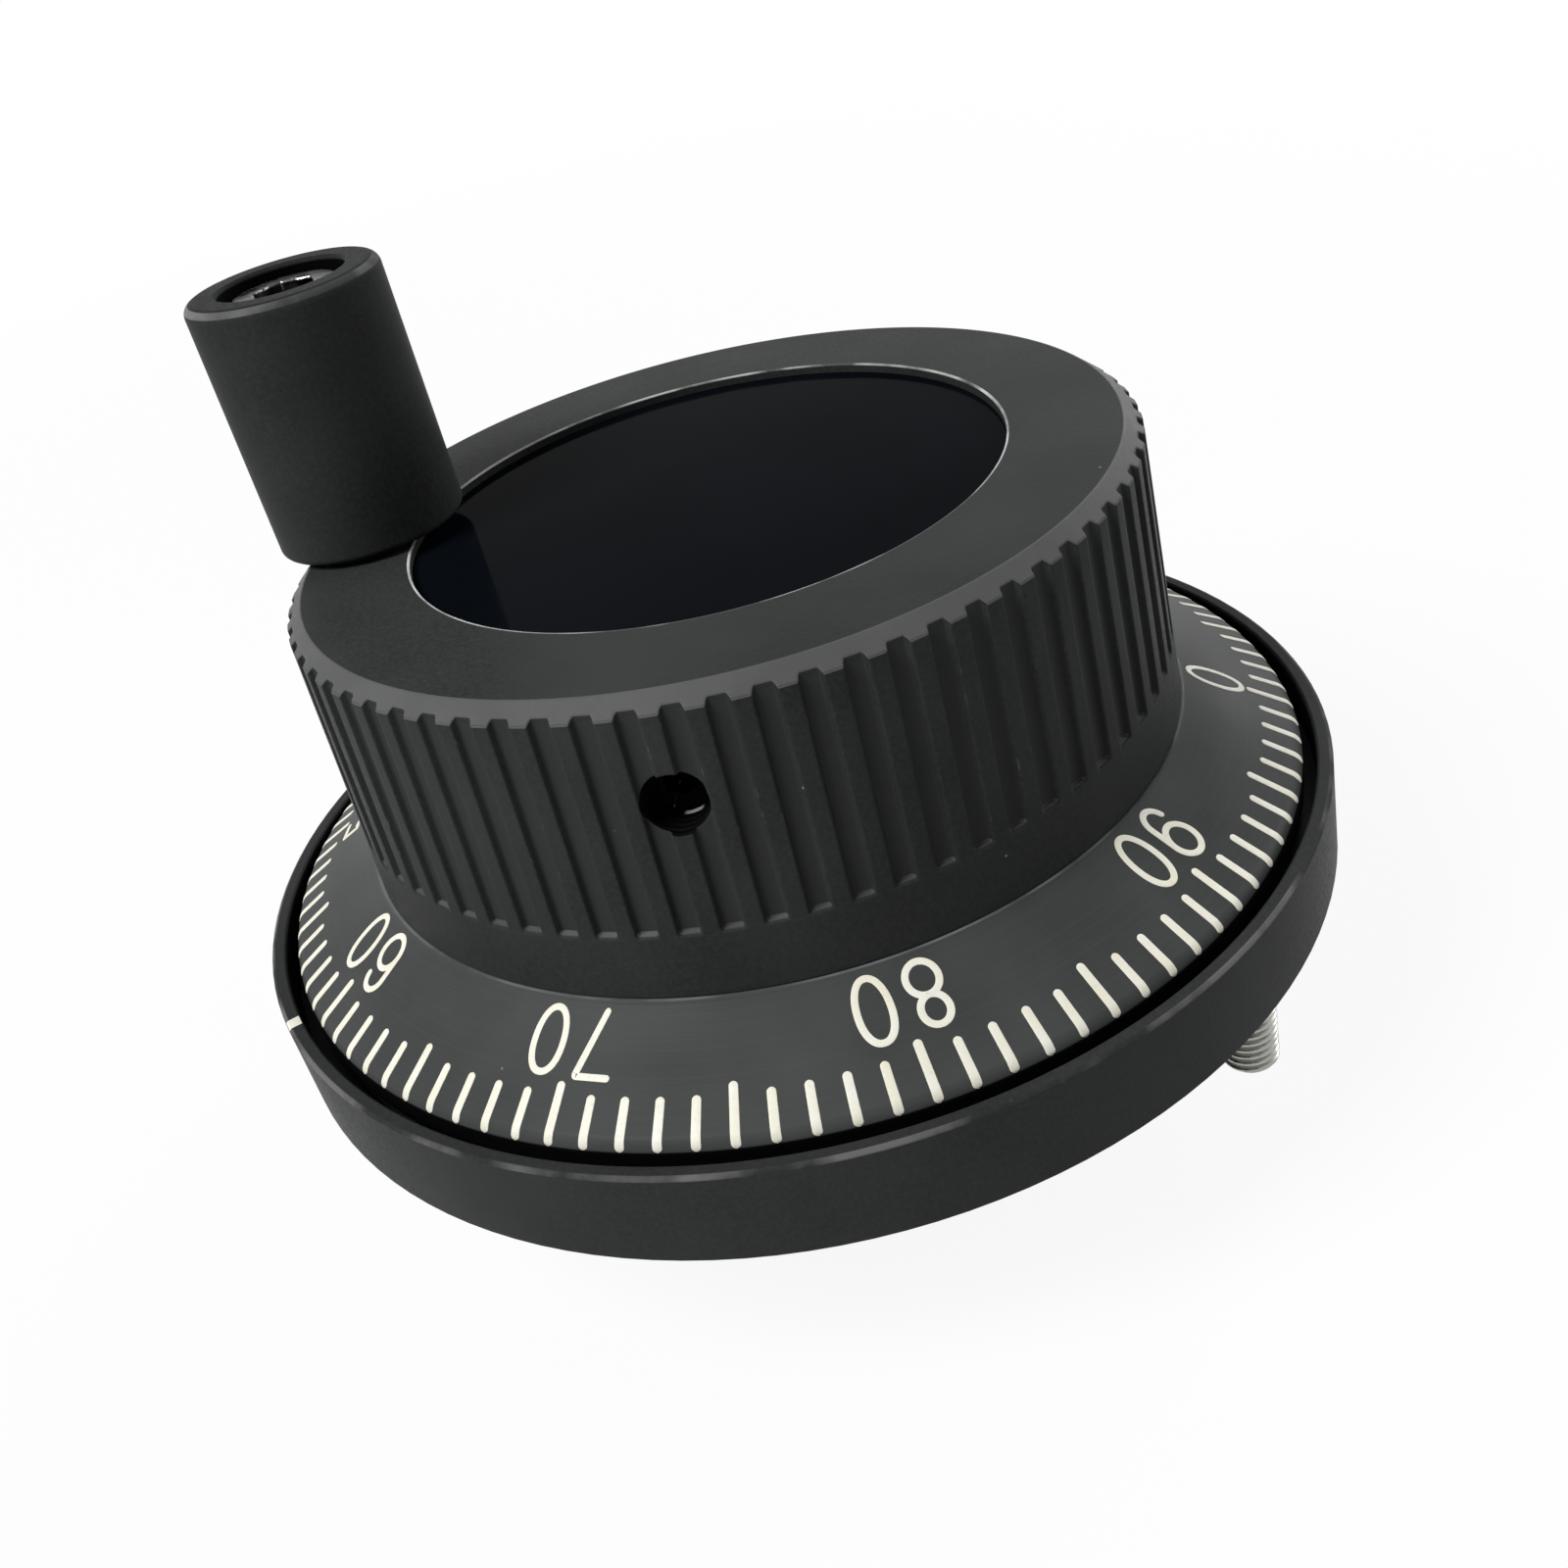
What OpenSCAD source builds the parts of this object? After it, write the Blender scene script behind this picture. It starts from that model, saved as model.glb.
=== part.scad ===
// Panel-mounted pulse generator handwheel, 80 mm bezel, 100 detents a turn.
// Origin: centre of the bezel's back face, which seats on the panel.
// +Z runs along the spindle towards the operator, +Y points at the index mark.

/* [Bezel and flange] */
// Outside diameter of the bezel ring
bezel_d = 80; // [78:0.5:110]
// Height of the bezel in front of the panel
bezel_h = 7.1; // [7:0.1:10]
// Width of the flat land on top of the bezel
bezel_land = 1.1; // [1:0.1:2]
// Chamfer on the bezel's top outer edge
bezel_chamfer = 0.2; // [0.1:0.05:0.4]
// Thickness of the flange under the dial
flange_t = 4.2; // [4:0.1:5]
// Width of the painted index mark
index_w = 0.95; // [0.5:0.05:2]

/* [Rear body] */
// Diameter of the spigot that enters the panel cut-out
spigot_d = 62; // [61.5:0.5:63]
// Wall of the spigot
spigot_wall = 3; // [2.6:0.1:3.4]
// Depth of the spigot behind the panel's front face
spigot_h = 7.4; // [7.4:0.1:14]
// Thickness of the rear cover
cover_t = 1.6; // [1.4:0.1:3]
// Depth of the electronics pocket sunk into the flange
roof_pocket = 0.8; // [0.4:0.1:1]

/* [Panel studs] */
// Thread diameter of the studs
stud_d = 4; // [3:0.5:5]
// Length of a stud behind the panel's front face
stud_len = 11.5; // [8:0.5:20]
// Depth of a stud in the flange
stud_grip = 3.4; // [3:0.1:3.6]
// Diameter of the circle the studs stand on
stud_pcd = 70; // [68:0.5:72]
// Number of studs
stud_count = 3; // [3:1:6]
// Diameter of a stud's pressed-in root
stud_root_d = 5.2; // [5:0.1:5.6]

/* [Dial] */
// Gap between the dial's rim and the bezel
dial_gap = 0.9; // [0.4:0.05:1.2]
// Slope of the dial's cone
dial_slope = 30; // [20:1:40]
// Rounding between the cone and the dial's side
dial_edge_r = 1.3; // [0.5:0.1:2]
// Thickness of the cone, measured upright
dial_t = 2.1; // [1.5:0.1:2.6]
// Thickness of the dial's side
dial_rim_t = 1.8; // [1.2:0.1:2.5]
// Thickness of the dial's inner flange
dial_flange_t = 2.2; // [1.8:0.1:3]

/* [Knob] */
// Diameter of the knob at its foot
knob_d = 60.3; // [56:0.1:64]
// Height of the knob above the dial
knob_h = 20.2; // [19:0.1:30]
// Radius the knob's wall loses between its foot and the bevel
knob_taper = 0.6; // [0.1:0.1:1.2]
// Height of the plain neck below the grooves
neck_h = 4.6; // [2:0.1:8]
// Number of finger grooves
groove_count = 72; // [36:1:90]
// Width of a groove at the knob's surface
groove_w = 1.5; // [0.6:0.05:2]
// Depth of a groove
groove_depth = 0.4; // [0.2:0.05:0.8]
// Width of the bevel round the top
bevel_w = 1.2; // [0.5:0.1:2.5]
// Height of the bevel round the top
bevel_h = 1; // [0.4:0.05:2]
// Diameter of the recess in the top
recess_d = 41.5; // [30:0.5:42]
// Depth of the recess down to the centre plate
recess_depth = 0.6; // [0.4:0.1:2]
// Thickness of the centre plate
plate_t = 0.8; // [0.5:0.1:1.2]
// Thickness of the knob's top below the centre plate
knob_top_t = 2.6; // [2:0.1:4]
// Height of the set screw above the knob's bottom
set_screw_up = 13.4; // [8:0.1:14]
// Angle of the set screw round the knob
set_screw_turn = 147; // [0:1:359]

/* [Drive hub] */
// Diameter of the drum that the knob slips over
drum_d = 47; // [44:0.5:48]
// Wall of the drum
drum_wall = 3.5; // [3.4:0.1:4]
// Thickness of the hub's web
web_t = 3; // [2:0.1:3.6]
// Diameter of the hub's sleeve round the spindle
sleeve_d = 18; // [14:0.5:24]

/* [Spindle and bearings] */
// Diameter of the spindle
spindle_d = 8; // [7:0.1:10]
// Outside diameter of both bearings
bearing_od = 16; // [16:0.5:20]
// Width of a bearing
bearing_w = 5; // [4:0.1:6]
// Distance between the two bearings
bearing_gap = 7.6; // [6:0.1:9.5]
// Diameter of the bearing balls
ball_d = 2; // [1.6:0.1:2.4]
// Number of balls in a bearing
ball_count = 9; // [7:1:11]
// Wall of the bearing boss
boss_wall = 4; // [3:0.1:5]

/* [Detent] */
// Number of detents in a turn
detent_count = 100; // [50:1:120]
// Diameter of the circle the ball runs on
track_d = 53.2; // [50:0.1:54]
// Width of a detent notch
notch_w = 1.4; // [0.8:0.05:1.4]
// Depth of a detent notch
notch_depth = 0.5; // [0.3:0.05:0.8]
// Diameter of the detent ball
detent_ball_d = 2.4; // [2:0.1:3]
// Outside diameter of the ball plunger
plunger_d = 5; // [4:0.1:6]

/* [Grip] */
// Diameter of the crank grip
grip_d = 13.4; // [12:0.1:15]
// Length of the crank grip
grip_h = 18; // [14:0.1:40]
// Distance of the grip from the spindle
grip_reach = 24.8; // [24.2:0.1:26]
// Angle of the grip round the knob
grip_turn = 52; // [0:1:359]
// Diameter of the smooth part of the grip's axle
axle_d = 6; // [5:0.1:7]
// Thread diameter of the grip's axle
axle_thread_d = 5; // [4:0.1:5.5]
// Diameter of the counterbore over the axle's head
cbore_d = 8.8; // [8:0.1:10]
// Depth of the counterbore
cbore_depth = 3.1; // [2:0.1:5]

/* [Encoder and terminals] */
// Diameter of the slotted disc
disc_d = 38.4; // [30:0.1:39]
// Number of slots in the disc
slot_count = 100; // [50:1:120]
// Length of a slot
slot_len = 2.4; // [1:0.1:3]
// Thickness of the circuit board
board_t = 1.6; // [1:0.1:1.6]
// Number of terminals
terminal_count = 6; // [2:2:6]
// Distance between terminals
terminal_pitch = 5.6; // [5.2:0.1:5.8]

/* [Hidden] */
$fn = 96;

// Clearances
seat = 0.02;             // pieces pressed or screwed together
running = 0.05;          // grip bushes on their axle
ball_play = 0.04;        // bearing balls in their races and cage
slip = 0.1;              // knob over the drum, plate in the recess
notch_play = 0.03;       // detent ball under the ring
clear = 0.4;             // turning pieces past fixed ones
cut = 1;                 // overrun of a cutting shape

// Finishes
black_metal = "#34373a";
steel = "#b9bcc0";
dark_steel = "#4a4d50";
brass = "#c9a75a";
bronze = "#a9763c";
white_paint = "#efeee4";
gloss_black = "#10131a";
board_green = "#1f6b43";
plastic = "#1b1c1e";

// Radii
bezel_r = bezel_d / 2;
bezel_in_r = bezel_r - bezel_land;
spigot_r = spigot_d / 2;
chamber_r = spigot_r - spigot_wall;
boss_r = bearing_od / 2 + boss_wall;
dial_r = bezel_in_r - dial_gap;
knob_r = knob_d / 2;
drum_r = drum_d / 2;
drum_in_r = drum_r - drum_wall;
bearing_r = bearing_od / 2;
spindle_r = spindle_d / 2;
pitch_r = (bearing_r + spindle_r) / 2;
inner_race_r = pitch_r - 0.4 * ball_d;
outer_race_r = pitch_r + 0.4 * ball_d;
shoulder_r = bearing_r - 0.8;
seal_r = inner_race_r + clear;
dial_in_r = boss_r + 2;
track_r = track_d / 2;

// Heights, from the panel's front face at 0
lower_z = -2.6;
upper_z = lower_z + bearing_w + bearing_gap;
clip_t = 1;
clip_z = upper_z + bearing_w;
seal_t = 1.9;
seal_z = clip_z + clip_t + slip;
boss_top = seal_z + seal_t + 0.2;
dial_side_z = bezel_h - 0.4;
dial_foot_z = flange_t + 1;
dial_corner_z = dial_side_z + dial_edge_r * tan((90 - dial_slope) / 2);
dial_top = dial_corner_z + (dial_r - knob_r) * tan(dial_slope);
flange_under = dial_top - dial_flange_t;
ring_t = 1.8;
ring_z = flange_under - ring_t;
knob_top = dial_top + knob_h;
plate_z = knob_top - recess_depth - plate_t;
ceiling = plate_z - knob_top_t;
sleeve_z = boss_top + clear;
hub_head_h = 2.6;
hub_washer_t = 1;
sleeve_top = ceiling - slip - hub_head_h - hub_washer_t;
web_z = sleeve_z + 1;
spindle_top = sleeve_top - 0.3;

// Set screw in the knob's wall
set_screw_r = 2;
set_screw_len = 4;
set_screw_z = dial_top + set_screw_up;
dimple = 0.5;

// Screws between detent ring, dial and drum
dial_screw_r = 1.5;
dial_screw_head_r = 2.9;
dial_screw_circle = drum_r - drum_wall / 2;
dial_screw_in = 6;

// Ball plunger
detent_ball_r = detent_ball_d / 2;
detent_z = ring_z - detent_ball_r - notch_play;
plunger_z = roof_pocket + 0.8;
plunger_top = ring_z - 0.6;
plunger_floor = 0.8;
plunger_bore_r = detent_ball_r + running;
spring_wire_r = 0.14;
spring_turns = 6;

// Grip stack
grip_washer_t = 0.3;
grip_z = knob_top + grip_washer_t + slip;
grip_top = grip_z + grip_h;
cbore_z = grip_top - cbore_depth;
axle_head_z = cbore_z + 0.2;
axle_head_r = cbore_d / 2 - 0.5;
axle_head_h = 2.2;
bush_len = 5;
bush_wall = 1;

// Rear chamber, downwards from the flange
standoff_h = 1;
board_z = roof_pocket - standoff_h - board_t;
board_in_r = boss_r + 0.8;
board_r = chamber_r - clear;
disc_t = 0.3;
disc_z = board_z - 2.2 - disc_t;
disc_r = disc_d / 2;
encoder_collar_r = spindle_r + 3;
encoder_collar_h = 2.7;
encoder_spigot_r = spindle_r + 1;
spindle_foot = disc_z - encoder_collar_h + clear;
circlip_t = 0.8;
circlip_depth = 0.4;
cover_z = -spigot_h - cover_t;
pillar_r = 2.8;
pillar_circle = chamber_r - 1.4;
pillar_turn = 90;
standoff_r = 2.2;
board_screw_circle = chamber_r - 3.4;
board_screw_turn = 30;
board_screw_r = 1;
cover_screw_r = 1.25;
cover_screw_head_r = 2.3;
cover_screw_in = 5;
fork_turn = 180;
fork_w = 9;
fork_in_r = disc_r - 4;
fork_out_r = chamber_r - 2.8;
fork_slot = 1.8;
optics_r = disc_r - 0.8 - slot_len / 2;

// Terminals
block_l = terminal_count * terminal_pitch + 2;
block_back = -23;
block_front = -15;
block_base_h = 3;
block_h = 6.2;
pin_y = -21.5;
pin_r = 0.4;
terminal_y = -18;
terminal_screw_r = 1.3;
clamp_t = 0.8;

// Copies of the children on a circle, the first one at angle turn
module around(count, radius, turn = 0) {
    for (i = [0 : count - 1])
        rotate([0, 0, turn + i * 360 / count]) translate([radius, 0, 0]) children();
}

// Upright tube standing on height z
module tube(outer, inner, h, z = 0) {
    translate([0, 0, z]) difference() {
        cylinder(r = outer, h = h);
        translate([0, 0, -cut]) cylinder(r = inner, h = h + 2 * cut);
    }
}

// Socket for a hexagon key, across flats af, cut downwards from the origin
module hex_socket(af, depth) {
    translate([0, 0, -depth]) cylinder(d = af / cos(30), h = depth + cut, $fn = 6);
}

// Snap ring with its gap towards +X
module snap_ring(outer, inner, t, gap) {
    difference() {
        tube(outer, inner, t);
        translate([0, -gap / 2, -cut]) cube([outer + cut, gap, t + 2 * cut]);
    }
}

// Flange, bezel, spigot and bearing boss, as one revolved outline
function flange_outline() = [
    [bearing_r + seat, lower_z], [boss_r, lower_z], [boss_r, roof_pocket],
    [chamber_r, roof_pocket], [chamber_r, -spigot_h], [spigot_r, -spigot_h], [spigot_r, 0],
    [bezel_r - 0.2, 0], [bezel_r, 0.2], [bezel_r, bezel_h - bezel_chamfer],
    [bezel_r - bezel_chamfer, bezel_h], [bezel_in_r + 0.15, bezel_h],
    [bezel_in_r, bezel_h - 0.15], [bezel_in_r, flange_t], [boss_r, flange_t],
    [boss_r, boss_top], [bearing_r + seat, boss_top],
    [bearing_r + seat, clip_z + clip_t + seat], [bearing_r + 0.5, clip_z + clip_t + seat],
    [bearing_r + 0.5, clip_z], [bearing_r + seat, clip_z],
    [bearing_r + seat, upper_z], [shoulder_r, upper_z],
    [shoulder_r, lower_z + bearing_w], [bearing_r + seat, lower_z + bearing_w]];

module index_shape(grow) {
    mark_l = bezel_land - bezel_chamfer - 0.15;
    translate([-index_w / 2 - grow, bezel_in_r + 0.15 - grow, bezel_h - 0.2 - grow])
        cube([index_w + 2 * grow, mark_l + 2 * grow, 0.2 + cut * sign(grow) + grow]);
}

module mounting_flange() {
    color(black_metal) difference() {
        union() {
            rotate_extrude() polygon(flange_outline());
            around(3, pillar_circle, pillar_turn) translate([0, 0, -spigot_h])
                cylinder(r = pillar_r, h = spigot_h + flange_t / 2);
            around(3, board_screw_circle, board_screw_turn) translate([0, 0, board_z + board_t])
                cylinder(r = standoff_r, h = standoff_h + cut);
        }
        around(stud_count, stud_pcd / 2, 90) translate([0, 0, -cut])
            cylinder(d = stud_root_d + 2 * seat, h = stud_grip + cut + seat);
        around(3, pillar_circle, pillar_turn) translate([0, 0, -spigot_h - cut])
            cylinder(r = cover_screw_r + seat, h = cover_screw_in + cut + seat);
        around(3, board_screw_circle, board_screw_turn) translate([0, 0, board_z])
            cylinder(r = board_screw_r + seat, h = board_t + standoff_h + 1.8);
        translate([track_r, 0, plunger_z - seat])
            cylinder(d = plunger_d + 2 * seat, h = flange_t);
        index_shape(seat / 2);
    }
}

module index_mark() {
    color(white_paint) index_shape(0);
}

// Press-in stud: wide root in the flange, thread with a chamfered end drawn at its major diameter
module panel_studs() {
    chamfer = 0.5;
    root_r = stud_root_d / 2;
    outline = [[0, -stud_len], [stud_d / 2 - chamfer, -stud_len], [stud_d / 2, chamfer - stud_len],
        [stud_d / 2, 0], [root_r, 0], [root_r, stud_grip - 0.3], [root_r - 0.3, stud_grip],
        [0, stud_grip]];
    color(steel) around(stud_count, stud_pcd / 2, 90) rotate_extrude() polygon(outline);
}

// One race of a deep groove bearing whose lower face is at height z
module race(outer, inner, z) {
    translate([0, 0, z]) rotate_extrude() difference() {
        translate([inner, 0]) square([outer - inner, bearing_w]);
        translate([pitch_r, bearing_w / 2]) circle(r = ball_d / 2 + ball_play);
    }
}

module ball_set(z, play = 0) {
    around(ball_count, pitch_r) translate([0, 0, z + bearing_w / 2])
        sphere(r = ball_d / 2 + play);
}

module cage(z) {
    cage_w = 0.55 * ball_d;
    difference() {
        tube(pitch_r + cage_w / 2, pitch_r - cage_w / 2, 0.6 * bearing_w, z + 0.2 * bearing_w);
        ball_set(z, ball_play);
    }
}

module lower_bearing_outer() { color(steel) race(bearing_r, outer_race_r, lower_z); }
module upper_bearing_outer() { color(steel) race(bearing_r, outer_race_r, upper_z); }
module lower_bearing_inner() { color(steel) race(inner_race_r, spindle_r + seat, lower_z); }
module upper_bearing_inner() { color(steel) race(inner_race_r, spindle_r + seat, upper_z); }
module lower_bearing_balls() { color(steel) ball_set(lower_z); }
module upper_bearing_balls() { color(steel) ball_set(upper_z); }
module lower_bearing_cage() { color(brass) cage(lower_z); }
module upper_bearing_cage() { color(brass) cage(upper_z); }

module bearing_circlip() {
    color(dark_steel) translate([0, 0, clip_z])
        snap_ring(bearing_r + 0.45, outer_race_r + 0.2, clip_t, 5);
}

module shaft_seal() {
    lip = 0.5;
    outline = [[seal_r + 0.9, seal_z], [bearing_r, seal_z], [bearing_r, seal_z + seal_t],
        [seal_r, seal_z + seal_t], [seal_r, seal_z + seal_t - lip], [seal_r + 0.9, seal_z + seal_t / 2]];
    color(plastic) rotate_extrude() polygon(outline);
}

module detent_plunger() {
    color(brass) translate([track_r, 0, plunger_z]) difference() {
        cylinder(d = plunger_d, h = plunger_top - plunger_z);
        translate([0, 0, plunger_floor])
            cylinder(r = plunger_bore_r, h = plunger_top - plunger_z - plunger_floor - 0.15);
        cylinder(r = detent_ball_r - 0.01, h = plunger_top, $fn = 48);
        translate([0, 0, -cut]) cylinder(d = plunger_d + cut, h = cut);
    }
}

// Points of one ring of the spring's wire, centred on the helix at turn fraction t
function coil_ring(t, radius, low, high, sides) =
    let (a = t * spring_turns * 360, z = low + t * (high - low))
    [for (s = [0 : sides - 1])
        let (b = s * 360 / sides, r = radius + spring_wire_r * cos(b))
        [r * cos(a), r * sin(a), z + spring_wire_r * sin(b)]];

module detent_spring() {
    sides = 8;
    rings = spring_turns * 14;
    low = plunger_z + plunger_floor + spring_wire_r + seat;
    high = detent_z - detent_ball_r - spring_wire_r - seat;
    radius = plunger_bore_r - spring_wire_r - 0.1;
    points = [for (i = [0 : rings]) each coil_ring(i / rings, radius, low, high, sides)];
    walls = [for (i = [0 : rings - 1], s = [0 : sides - 1])
        let (n = (s + 1) % sides)
        [i * sides + s, (i + 1) * sides + s, (i + 1) * sides + n, i * sides + n]];
    ends = [[for (s = [0 : sides - 1]) s], [for (s = [sides - 1 : -1 : 0]) rings * sides + s]];
    color(steel) translate([track_r, 0, 0]) polyhedron(points, concat(walls, ends), convexity = 4);
}

module detent_ball() {
    color(steel) translate([track_r, 0, detent_z]) sphere(r = detent_ball_r);
}

module circuit_board() {
    color(board_green) difference() {
        tube(board_r, board_in_r, board_t, board_z);
        around(3, pillar_circle, pillar_turn) translate([0, 0, board_z - cut])
            cylinder(r = pillar_r + clear, h = board_t + 2 * cut);
        around(3, board_screw_circle, board_screw_turn) translate([0, 0, board_z - cut])
            cylinder(r = board_screw_r + slip, h = board_t + 2 * cut);
        terminal_row(pin_y) translate([0, 0, board_z - cut])
            cylinder(r = pin_r + slip, h = board_t + 2 * cut, $fn = 24);
    }
}

// Pan head screw standing on the origin, thread upwards, head downwards
module pan_screw(thread_r, length, head_r, head_h, slot = true) {
    difference() {
        union() {
            cylinder(r = thread_r, h = length);
            translate([0, 0, -head_h]) cylinder(r = head_r, h = head_h);
        }
        if (slot)
            for (turn = [0, 90]) rotate([0, 0, turn])
                translate([-head_r * 0.6, -head_r * 0.13, -head_h - cut])
                    cube([head_r * 1.2, head_r * 0.26, cut + head_h * 0.5]);
    }
}

// Countersunk screw with its head's flat face at the origin, thread upwards
module flat_screw(thread_r, length, head_r) {
    cone_h = head_r - thread_r;
    difference() {
        rotate_extrude() polygon([[0, 0], [head_r, 0], [thread_r, cone_h], [thread_r, length], [0, length]]);
        rotate([180, 0, 0]) hex_socket(thread_r * 1.3, cone_h * 0.9);
    }
}

// Matching hole for flat_screw, grown by the seat clearance
module flat_screw_hole(thread_r, length, head_r) {
    cone_h = head_r - thread_r;
    hole_r = thread_r + seat;
    rotate_extrude() polygon([[0, -cut], [head_r + seat, -cut], [head_r + seat, 0],
        [hole_r, cone_h], [hole_r, length + seat], [0, length + seat]]);
}

module board_screws() {
    color(steel) around(3, board_screw_circle, board_screw_turn) translate([0, 0, board_z])
        pan_screw(board_screw_r, board_t + standoff_h + 1.5, 1.9, 1.1);
}

// Fork that straddles the slotted disc, with a pocket in each jaw
module optical_head() {
    low = disc_z - encoder_collar_h;
    slot_z = disc_z + disc_t / 2 - fork_slot / 2;
    color(plastic) rotate([0, 0, fork_turn]) difference() {
        translate([fork_in_r, -fork_w / 2, low]) cube([fork_out_r - fork_in_r, fork_w, board_z - low]);
        translate([fork_in_r - cut, -fork_w / 2 - cut, slot_z])
            cube([disc_r + 1 - fork_in_r + cut, fork_w + 2 * cut, fork_slot]);
        translate([optics_r, 0, slot_z - 1]) cylinder(r = 1.2 + seat, h = 1 + cut);
        translate([optics_r - 1.3, -2.5, slot_z + fork_slot - cut]) cube([2.6, 5, 0.5 + cut]);
    }
}

module light_emitter() {
    slot_z = disc_z + disc_t / 2 - fork_slot / 2;
    color("#7a2a2a") rotate([0, 0, fork_turn]) translate([optics_r, 0, slot_z - 1 + seat])
        cylinder(r = 1.2, h = 0.9);
}

module photo_detector() {
    slot_z = disc_z + disc_t / 2 + fork_slot / 2;
    color(gloss_black) rotate([0, 0, fork_turn])
        translate([optics_r - 1.3 + seat, -2.5 + seat, slot_z]) cube([2.6 - 2 * seat, 5 - 2 * seat, 0.5 - seat]);
}

// Flat chip with eight bent legs a side, under the board
module driver_chip() {
    body_l = 9.8;
    body_w = 3.9;
    body_h = 1.35;
    leg_pitch = 1.2;
    chip_r = (board_in_r + board_r) / 2 - 1;
    color(plastic) translate([chip_r, 0, board_z]) union() {
        translate([-body_w / 2, -body_l / 2, -body_h - 0.15]) cube([body_w, body_l, body_h]);
        for (i = [-3.5 : 3.5], side = [-1, 1]) translate([side * body_w / 2, i * leg_pitch, 0]) {
            translate([side * 0.3, 0, -0.75]) cube([0.7, 0.4, 0.16], center = true);
            translate([side * 0.6, 0, -0.4]) cube([0.16, 0.4, 0.8], center = true);
            translate([side * 0.9, 0, -0.08]) cube([0.7, 0.4, 0.16], center = true);
        }
    }
}

module capacitors() {
    can_r = 1.9;
    can_h = 4.4;
    circle_r = chamber_r - can_r - 1.4;
    color("#2f3a4a") for (turn = [50, 66]) rotate([0, 0, turn])
        translate([circle_r, 0, board_z - can_h]) cylinder(r = can_r, h = can_h);
}

module rear_cover() {
    color(plastic) difference() {
        rotate_extrude() polygon([[0, cover_z], [spigot_r - 0.3, cover_z], [spigot_r, cover_z + 0.3],
            [spigot_r, -spigot_h], [0, -spigot_h]]);
        around(3, pillar_circle, pillar_turn) translate([0, 0, cover_z])
            flat_screw_hole(cover_screw_r, cover_t + cut, cover_screw_head_r);
        terminal_row(pin_y) translate([0, 0, cover_z - cut])
            cylinder(r = pin_r + slip, h = cover_t + 2 * cut, $fn = 24);
    }
}

module cover_screws() {
    color(steel) around(3, pillar_circle, pillar_turn) translate([0, 0, cover_z])
        flat_screw(cover_screw_r, cover_t + cover_screw_in, cover_screw_head_r);
}

// Copies of the children at every terminal, at distance y from the spindle
module terminal_row(y) {
    for (i = [0 : terminal_count - 1])
        translate([(i - (terminal_count - 1) / 2) * terminal_pitch, y, 0]) children();
}

// Moulded block with a walled bay for each terminal, open towards the wires
module terminal_block() {
    bay_w = terminal_pitch - 1;
    bay_l = block_front - block_back - 1.2;
    color(plastic) difference() {
        translate([-block_l / 2, block_back, cover_z - block_h])
            cube([block_l, block_front - block_back, block_h]);
        terminal_row(block_back + 1.2) translate([-bay_w / 2, 0, cover_z - block_h - cut])
            cube([bay_w, bay_l + cut, block_h - block_base_h + cut]);
        terminal_row(terminal_y) translate([0, 0, cover_z - block_base_h - cut])
            cylinder(r = terminal_screw_r + seat, h = block_base_h + cut - 0.5);
        terminal_row(pin_y) translate([0, 0, cover_z - block_base_h - cut])
            cylinder(r = pin_r + seat, h = block_base_h + 2 * cut, $fn = 24);
    }
}

module terminal_pins() {
    length = board_z + board_t + 0.5 - cover_z + block_base_h;
    color(brass) terminal_row(pin_y) translate([0, 0, cover_z - block_base_h])
        cylinder(r = pin_r, h = length, $fn = 24);
}

module terminal_clamps() {
    clamp_w = terminal_pitch - 1.3;
    color(brass) difference() {
        terminal_row(block_back + 1.4) translate([-clamp_w / 2, 0, cover_z - block_base_h - clamp_t])
            cube([clamp_w, block_front - block_back - 2, clamp_t - seat]);
        terminal_row(terminal_y) translate([0, 0, cover_z - block_base_h - 2 * cut])
            cylinder(r = terminal_screw_r + slip, h = 3 * cut);
    }
}

module terminal_screws() {
    color(steel) terminal_row(terminal_y) translate([0, 0, cover_z - block_base_h - clamp_t])
        pan_screw(terminal_screw_r, clamp_t + block_base_h - 0.8, terminal_pitch / 2 - 0.7, 1.5);
}

// Spindle with its collar, snap ring groove, encoder flat and tapped end
module spindle() {
    groove_r = spindle_r - circlip_depth;
    collar_z = upper_z + bearing_w;
    outline = [[0, spindle_foot], [spindle_r - 0.3, spindle_foot], [spindle_r, spindle_foot + 0.3],
        [spindle_r, lower_z - circlip_t], [groove_r, lower_z - circlip_t], [groove_r, lower_z],
        [spindle_r, lower_z], [spindle_r, collar_z], [inner_race_r, collar_z],
        [inner_race_r, sleeve_z], [spindle_r, sleeve_z], [spindle_r, spindle_top], [0, spindle_top]];
    color(steel) difference() {
        rotate_extrude() polygon(outline);
        translate([0, 0, spindle_top - 8]) cylinder(r = 2 + seat, h = 8 + cut);
        translate([spindle_r - 0.4, -spindle_r, spindle_foot - cut])
            cube([spindle_r, spindle_d, encoder_collar_h - clear + cut]);
    }
}

module bearing_spacer() {
    color(steel) tube(inner_race_r, spindle_r + seat, bearing_gap, lower_z + bearing_w);
}

module spindle_circlip() {
    color(dark_steel) translate([0, 0, lower_z - circlip_t + seat / 2])
        snap_ring(inner_race_r + 0.3, spindle_r - circlip_depth + seat, circlip_t - seat, 3);
}

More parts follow.
